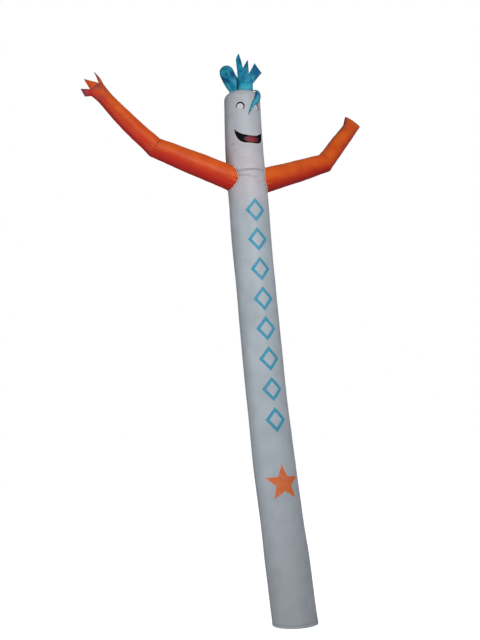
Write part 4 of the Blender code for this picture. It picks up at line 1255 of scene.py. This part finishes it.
def lozenge_mask(tree, u, v):
    """1 on the strokes of the open lozenges in a column down the front."""
    rows = tree.math("DIVIDE", tree.math("SUBTRACT", v, LOZENGE_LOW), LOZENGE_PITCH)
    level = tree.math("MULTIPLY", tree.math("SUBTRACT", tree.math("FRACT", rows), 0.5), LOZENGE_PITCH)
    size = tree.math("ADD", tree.math("DIVIDE", tree.math("ABSOLUTE", u), LOZENGE_HALF_WIDTH),
                     tree.math("DIVIDE", tree.math("ABSOLUTE", level), LOZENGE_HALF_HEIGHT))
    stroke = tree.ramp(tree.math("ABSOLUTE", tree.math("SUBTRACT", size, 1.0 - LOZENGE_STROKE)),
                       LOZENGE_STROKE - 0.03, LOZENGE_STROKE + 0.01, 1.0, 0.0)
    above = tree.math("GREATER_THAN", rows, 0.0)
    below = tree.math("LESS_THAN", rows, float(LOZENGE_COUNT))
    return tree.math("MULTIPLY", stroke, tree.math("MULTIPLY", above, below))


def star_mask(tree, u, v):
    """1 inside a plain star on the front, from the angle and distance to its middle."""
    rise = tree.math("SUBTRACT", v, STAR_HEIGHT)
    away = tree.math("SQRT", tree.math("ADD", tree.math("MULTIPLY", u, u), tree.math("MULTIPLY", rise, rise)))
    turn = tree.math("ARCTAN2", u, rise)
    wedge = 2 * np.pi / STAR_ARMS
    share = tree.math("FRACT", tree.math("ADD", tree.math("DIVIDE", turn, wedge), 0.5))
    local = tree.math("MULTIPLY", tree.math("ABSOLUTE", tree.math("SUBTRACT", share, 0.5)), wedge)
    half = wedge / 2
    tip, notch = STAR_RADIUS, STAR_RADIUS * STAR_NOTCH
    run = np.array([notch * np.cos(half) - tip, notch * np.sin(half)])
    normal = np.array([run[1], -run[0]]) / np.hypot(*run)
    along = tree.math("MULTIPLY", away, tree.math("COSINE", local))
    across = tree.math("MULTIPLY", away, tree.math("SINE", local))
    side = tree.math("ADD", tree.math("MULTIPLY", tree.math("SUBTRACT", along, tip), float(normal[0])),
                     tree.math("MULTIPLY", across, float(normal[1])))
    return tree.ramp(side, -0.002, 0.002, 1.0, 0.0)


def white_colour(tree, u, v):
    soft = tree.ramp(tree.noise(tree.place(), 2.2, 4.0), 0.35, 0.65)
    colour = tree.mix(soft, tuple(c * 0.93 for c in WHITE), WHITE)
    height = tree.add("ShaderNodeSeparateXYZ", {0: tree.place()}).outputs[2]
    mauve = tree.math("MULTIPLY", tree.ramp(height, 4.1, 4.6), tree.ramp(height, 4.7, 5.3, 1.0, 0.25))
    colour = tree.mix(mauve, colour, WHITE_MAUVE)
    # Painted shade: darker toward the bottom
    colour = tree.mix(tree.ramp(height, 0.2, 2.0, 1.0, 0.0), colour, WHITE_LOW_SHADE)
    front = tree.math("LESS_THAN", tree.math("ABSOLUTE", u), 0.3)
    worn = tree.ramp(tree.noise(tree.place(), 26.0, 4.0), 0.30, 0.50, 0.82, 1.0)
    teal = tree.math("MULTIPLY", tree.math("MULTIPLY", lozenge_mask(tree, u, v), front), worn)
    star = tree.math("MULTIPLY", tree.math("MULTIPLY", star_mask(tree, u, v), front), worn)
    return tree.mix(star, tree.mix(teal, colour, MOTIF_TEAL), MOTIF_ORANGE)


def orange_colour(tree, _u, _v):
    normal = tree.add("ShaderNodeNewGeometry").outputs["Normal"]
    up = tree.add("ShaderNodeSeparateXYZ", {0: normal}).outputs[2]
    # Painted shade: faces turned down are deep red, faces turned up orange
    colour = tree.mix(tree.ramp(up, -0.85, 0.35), ORANGE_UNDERSIDE_SHADE, ORANGE)
    # Random darker patches in the same deep red
    patchy = tree.ramp(tree.noise(tree.place(), 6.0, 4.0), 0.4, 0.7, 0.0, 0.35)
    return tree.mix(patchy, colour, ORANGE_UNDERSIDE_SHADE)


def teal_colour(tree, _u, _v):
    height = tree.add("ShaderNodeSeparateXYZ", {0: tree.place()}).outputs[2]
    # Painted highlight: pale cyan patches, stronger low on the hair
    pale = tree.math("MULTIPLY", tree.ramp(tree.noise(tree.place(), 9.0, 2.0), 0.40, 0.62),
                     tree.ramp(height, 5.56, 5.74, 0.85, 0.25))
    # Painted shade: random deep blue patches
    blue_shade = tree.ramp(tree.noise(tree.place(), 12.0, 2.0), 0.44, 0.60, 0.0, 0.80)
    green = tree.ramp(tree.noise(tree.place(), 8.0, 2.0), 0.54, 0.66, 0.0, 0.60)
    return tree.mix(pale, tree.mix(green, tree.mix(blue_shade, TEAL, TEAL_BLUE_SHADE), TEAL_GREEN), TEAL_HIGHLIGHT)


def plain_colour(colour):
    """A colour that varies a little from place to place, for a patch or thread."""
    def colour_of(tree, _u, _v):
        soft = tree.ramp(tree.noise(tree.place(), 30.0, 4.0), 0.3, 0.7)
        return tree.mix(soft, tuple(c * 0.85 for c in colour), colour)
    return colour_of


def thread_material(name, colour):
    """Twisted sewing thread or piping cord."""
    tree = Tree(name)
    place = tree.place()
    soft = tree.ramp(tree.noise(place, 90.0, 3.0), 0.3, 0.7)
    shaded = tree.mix(soft, tuple(c * 0.72 for c in colour), colour)
    tree.set(Roughness=0.6, Sheen_Weight=0.2)
    return tree.finish(shaded, tree.noise(place, 700.0, 2.0), 0.3, 0.0004)


FLOOR_GLOW = 0.90
WORLD_LIGHT = 0.22


def add_floor():
    """A plain pale floor that the camera sees nearly white, which casts no glow on the object."""
    bpy.ops.mesh.primitive_plane_add(size=60.0, location=(0.0, 0.0, 0.0))
    floor = bpy.context.object
    floor.name = "floor"
    material = bpy.data.materials.new("floor")
    material.use_nodes = True
    nodes, links = material.node_tree.nodes, material.node_tree.links
    shader = nodes["Principled BSDF"]
    shader.inputs["Base Color"].default_value = (0.80, 0.80, 0.80, 1.0)
    shader.inputs["Roughness"].default_value = 0.9
    shader.inputs["Specular IOR Level"].default_value = 0.0
    glow = nodes.new("ShaderNodeEmission")
    glow.inputs["Strength"].default_value = FLOOR_GLOW
    path = nodes.new("ShaderNodeLightPath")
    none = nodes.new("ShaderNodeEmission")
    none.inputs["Strength"].default_value = 0.0
    seen = nodes.new("ShaderNodeMixShader")
    links.new(path.outputs["Is Camera Ray"], seen.inputs[0])
    links.new(none.outputs[0], seen.inputs[1])
    links.new(glow.outputs[0], seen.inputs[2])
    total = nodes.new("ShaderNodeAddShader")
    links.new(shader.outputs[0], total.inputs[0])
    links.new(seen.outputs[0], total.inputs[1])
    links.new(total.outputs[0], nodes["Material Output"].inputs["Surface"])
    floor.data.materials.append(material)


def add_world():
    """White to the camera, and a dimmer even light on the object."""
    world = bpy.data.worlds.new("studio")
    bpy.context.scene.world = world
    world.use_nodes = True
    nodes, links = world.node_tree.nodes, world.node_tree.links
    light = nodes["Background"]
    light.inputs["Color"].default_value = (0.95, 0.97, 1.0, 1.0)
    light.inputs["Strength"].default_value = WORLD_LIGHT
    seen = nodes.new("ShaderNodeBackground")
    seen.inputs["Color"].default_value = (1.0, 1.0, 1.0, 1.0)
    seen.inputs["Strength"].default_value = 1.0
    path = nodes.new("ShaderNodeLightPath")
    mix = nodes.new("ShaderNodeMixShader")
    links.new(path.outputs["Is Camera Ray"], mix.inputs[0])
    links.new(light.outputs[0], mix.inputs[1])
    links.new(seen.outputs[0], mix.inputs[2])
    links.new(mix.outputs[0], nodes["World Output"].inputs["Surface"])


def add_area_light(name, bearing, distance, height, aim, size, power, colour=(1.0, 1.0, 1.0)):
    """A soft box on a bearing round the trunk, turned to a height on its middle."""
    data = bpy.data.lights.new(name, "AREA")
    data.shape = "DISK"
    data.size = size
    data.energy = power
    data.color = colour
    lamp = bpy.data.objects.new(name, data)
    bpy.context.scene.collection.objects.link(lamp)
    turn = np.radians(bearing)
    lamp.location = (-0.2 + distance * np.sin(turn), -distance * np.cos(turn), height)
    look = Vector((-0.2, 0.0, aim)) - lamp.location
    lamp.rotation_euler = look.to_track_quat("-Z", "Y").to_euler()


# Camera of the photograph: place, then turn of its base and the lens's yaw, pitch and roll in degrees
CAMERA_PLACE = (-3.1808, -8.7391, 2.0107)
CAMERA_BASE = -20.0
CAMERA_YAW = -2.421
CAMERA_PITCH = 6.784
CAMERA_ROLL = -3.1
CAMERA_LENS = 50.0625


def add_camera():
    base = np.radians(CAMERA_BASE)
    yaw, pitch, roll = (np.radians(a) for a in (CAMERA_YAW, CAMERA_PITCH, CAMERA_ROLL))
    ahead = np.array([-np.sin(base), np.cos(base), 0.0])
    right = np.array([np.cos(base), np.sin(base), 0.0])
    up = np.array([0.0, 0.0, 1.0])
    level = ahead * np.cos(yaw) + right * np.sin(yaw)
    right = right * np.cos(yaw) - ahead * np.sin(yaw)
    view = level * np.cos(pitch) + up * np.sin(pitch)
    top = -level * np.sin(pitch) + up * np.cos(pitch)
    side = right * np.cos(roll) + top * np.sin(roll)
    top = -right * np.sin(roll) + top * np.cos(roll)
    data = bpy.data.cameras.new("camera")
    data.lens = CAMERA_LENS
    data.sensor_width = 36.0
    data.sensor_fit = "AUTO"
    data.clip_end = 200.0
    camera = bpy.data.objects.new("camera", data)
    bpy.context.scene.collection.objects.link(camera)
    matrix = Matrix.Identity(4)
    for column, axis in enumerate((side, top, -view, np.array(CAMERA_PLACE))):
        for row in range(3):
            matrix[row][column] = axis[row]
    camera.matrix_world = matrix
    bpy.context.scene.camera = camera


# Record for a sheet's flat cut size, width, length and area in metres, how it is held and what it rests on; none is
# filled in
Cut = namedtuple("Cut", "width length area held rests_on")


add_camera()
white_cloth = cloth_material("white_cloth", white_colour, WHITE_SHADE, WHITE_TINT, 0.50, 0.35, 0.04)
orange_cloth = cloth_material("orange_cloth", orange_colour, ORANGE_SHADE, ORANGE_SKY_SHADE, 0.44, 0.18)
teal_cloth = cloth_material("teal_cloth", teal_colour, TEAL_SHADE, TEAL_BLUE_SHADE, 0.38, 0.15, 0.0, 0.07, 0.14)
black_cloth = cloth_material("black_patch_cloth", plain_colour(BLACK), BLACK, BLACK, 0.70, 0.06)
white_patch = cloth_material("white_patch_cloth", plain_colour(PATCH_WHITE), WHITE_SHADE, WHITE_TINT, 0.5, 0.4)
grey_patch = cloth_material("grey_patch_cloth", plain_colour(GREY), GREY_SHADE, GREY_SHADE, 0.5, 0.2)
red_patch = cloth_material("red_patch_cloth", plain_colour(RED), BLACK, BLACK, 0.45, 0.2)
piping = thread_material("cream_piping", CREAM)
edging = thread_material("pale_edging", EDGING)
orange_thread = thread_material("orange_thread", tuple(c * 0.7 for c in ORANGE))
white_thread = thread_material("white_thread", WHITE)
grey_thread = thread_material("grey_thread", GREY)

pieces = build_trunk(white_cloth)
pieces["head_crown"] = build_crown(white_cloth)
pieces.update(build_arms(orange_cloth))
pieces["hair_sleeve"] = build_hair_sleeve(teal_cloth)
pieces["hair_thumb"] = build_thumb(teal_cloth)
pieces["hair_strand"] = build_strand(teal_cloth)
for side in EYE_BEARINGS:
    pieces.update(build_eye(side, black_cloth, white_patch, grey_patch))
pieces.update(build_mouth(black_cloth, red_patch))
build_edging(edging, piping)
build_stitches(white_thread, orange_thread, grey_thread)

add_floor()
add_world()
add_area_light("key", 2.0, 6.8, 5.8, 4.2, 2.6, 290.0)
add_area_light("fill", -75.0, 6.0, 2.2, 2.6, 3.0, 95.0)
bpy.context.scene.view_settings.view_transform = "Standard"
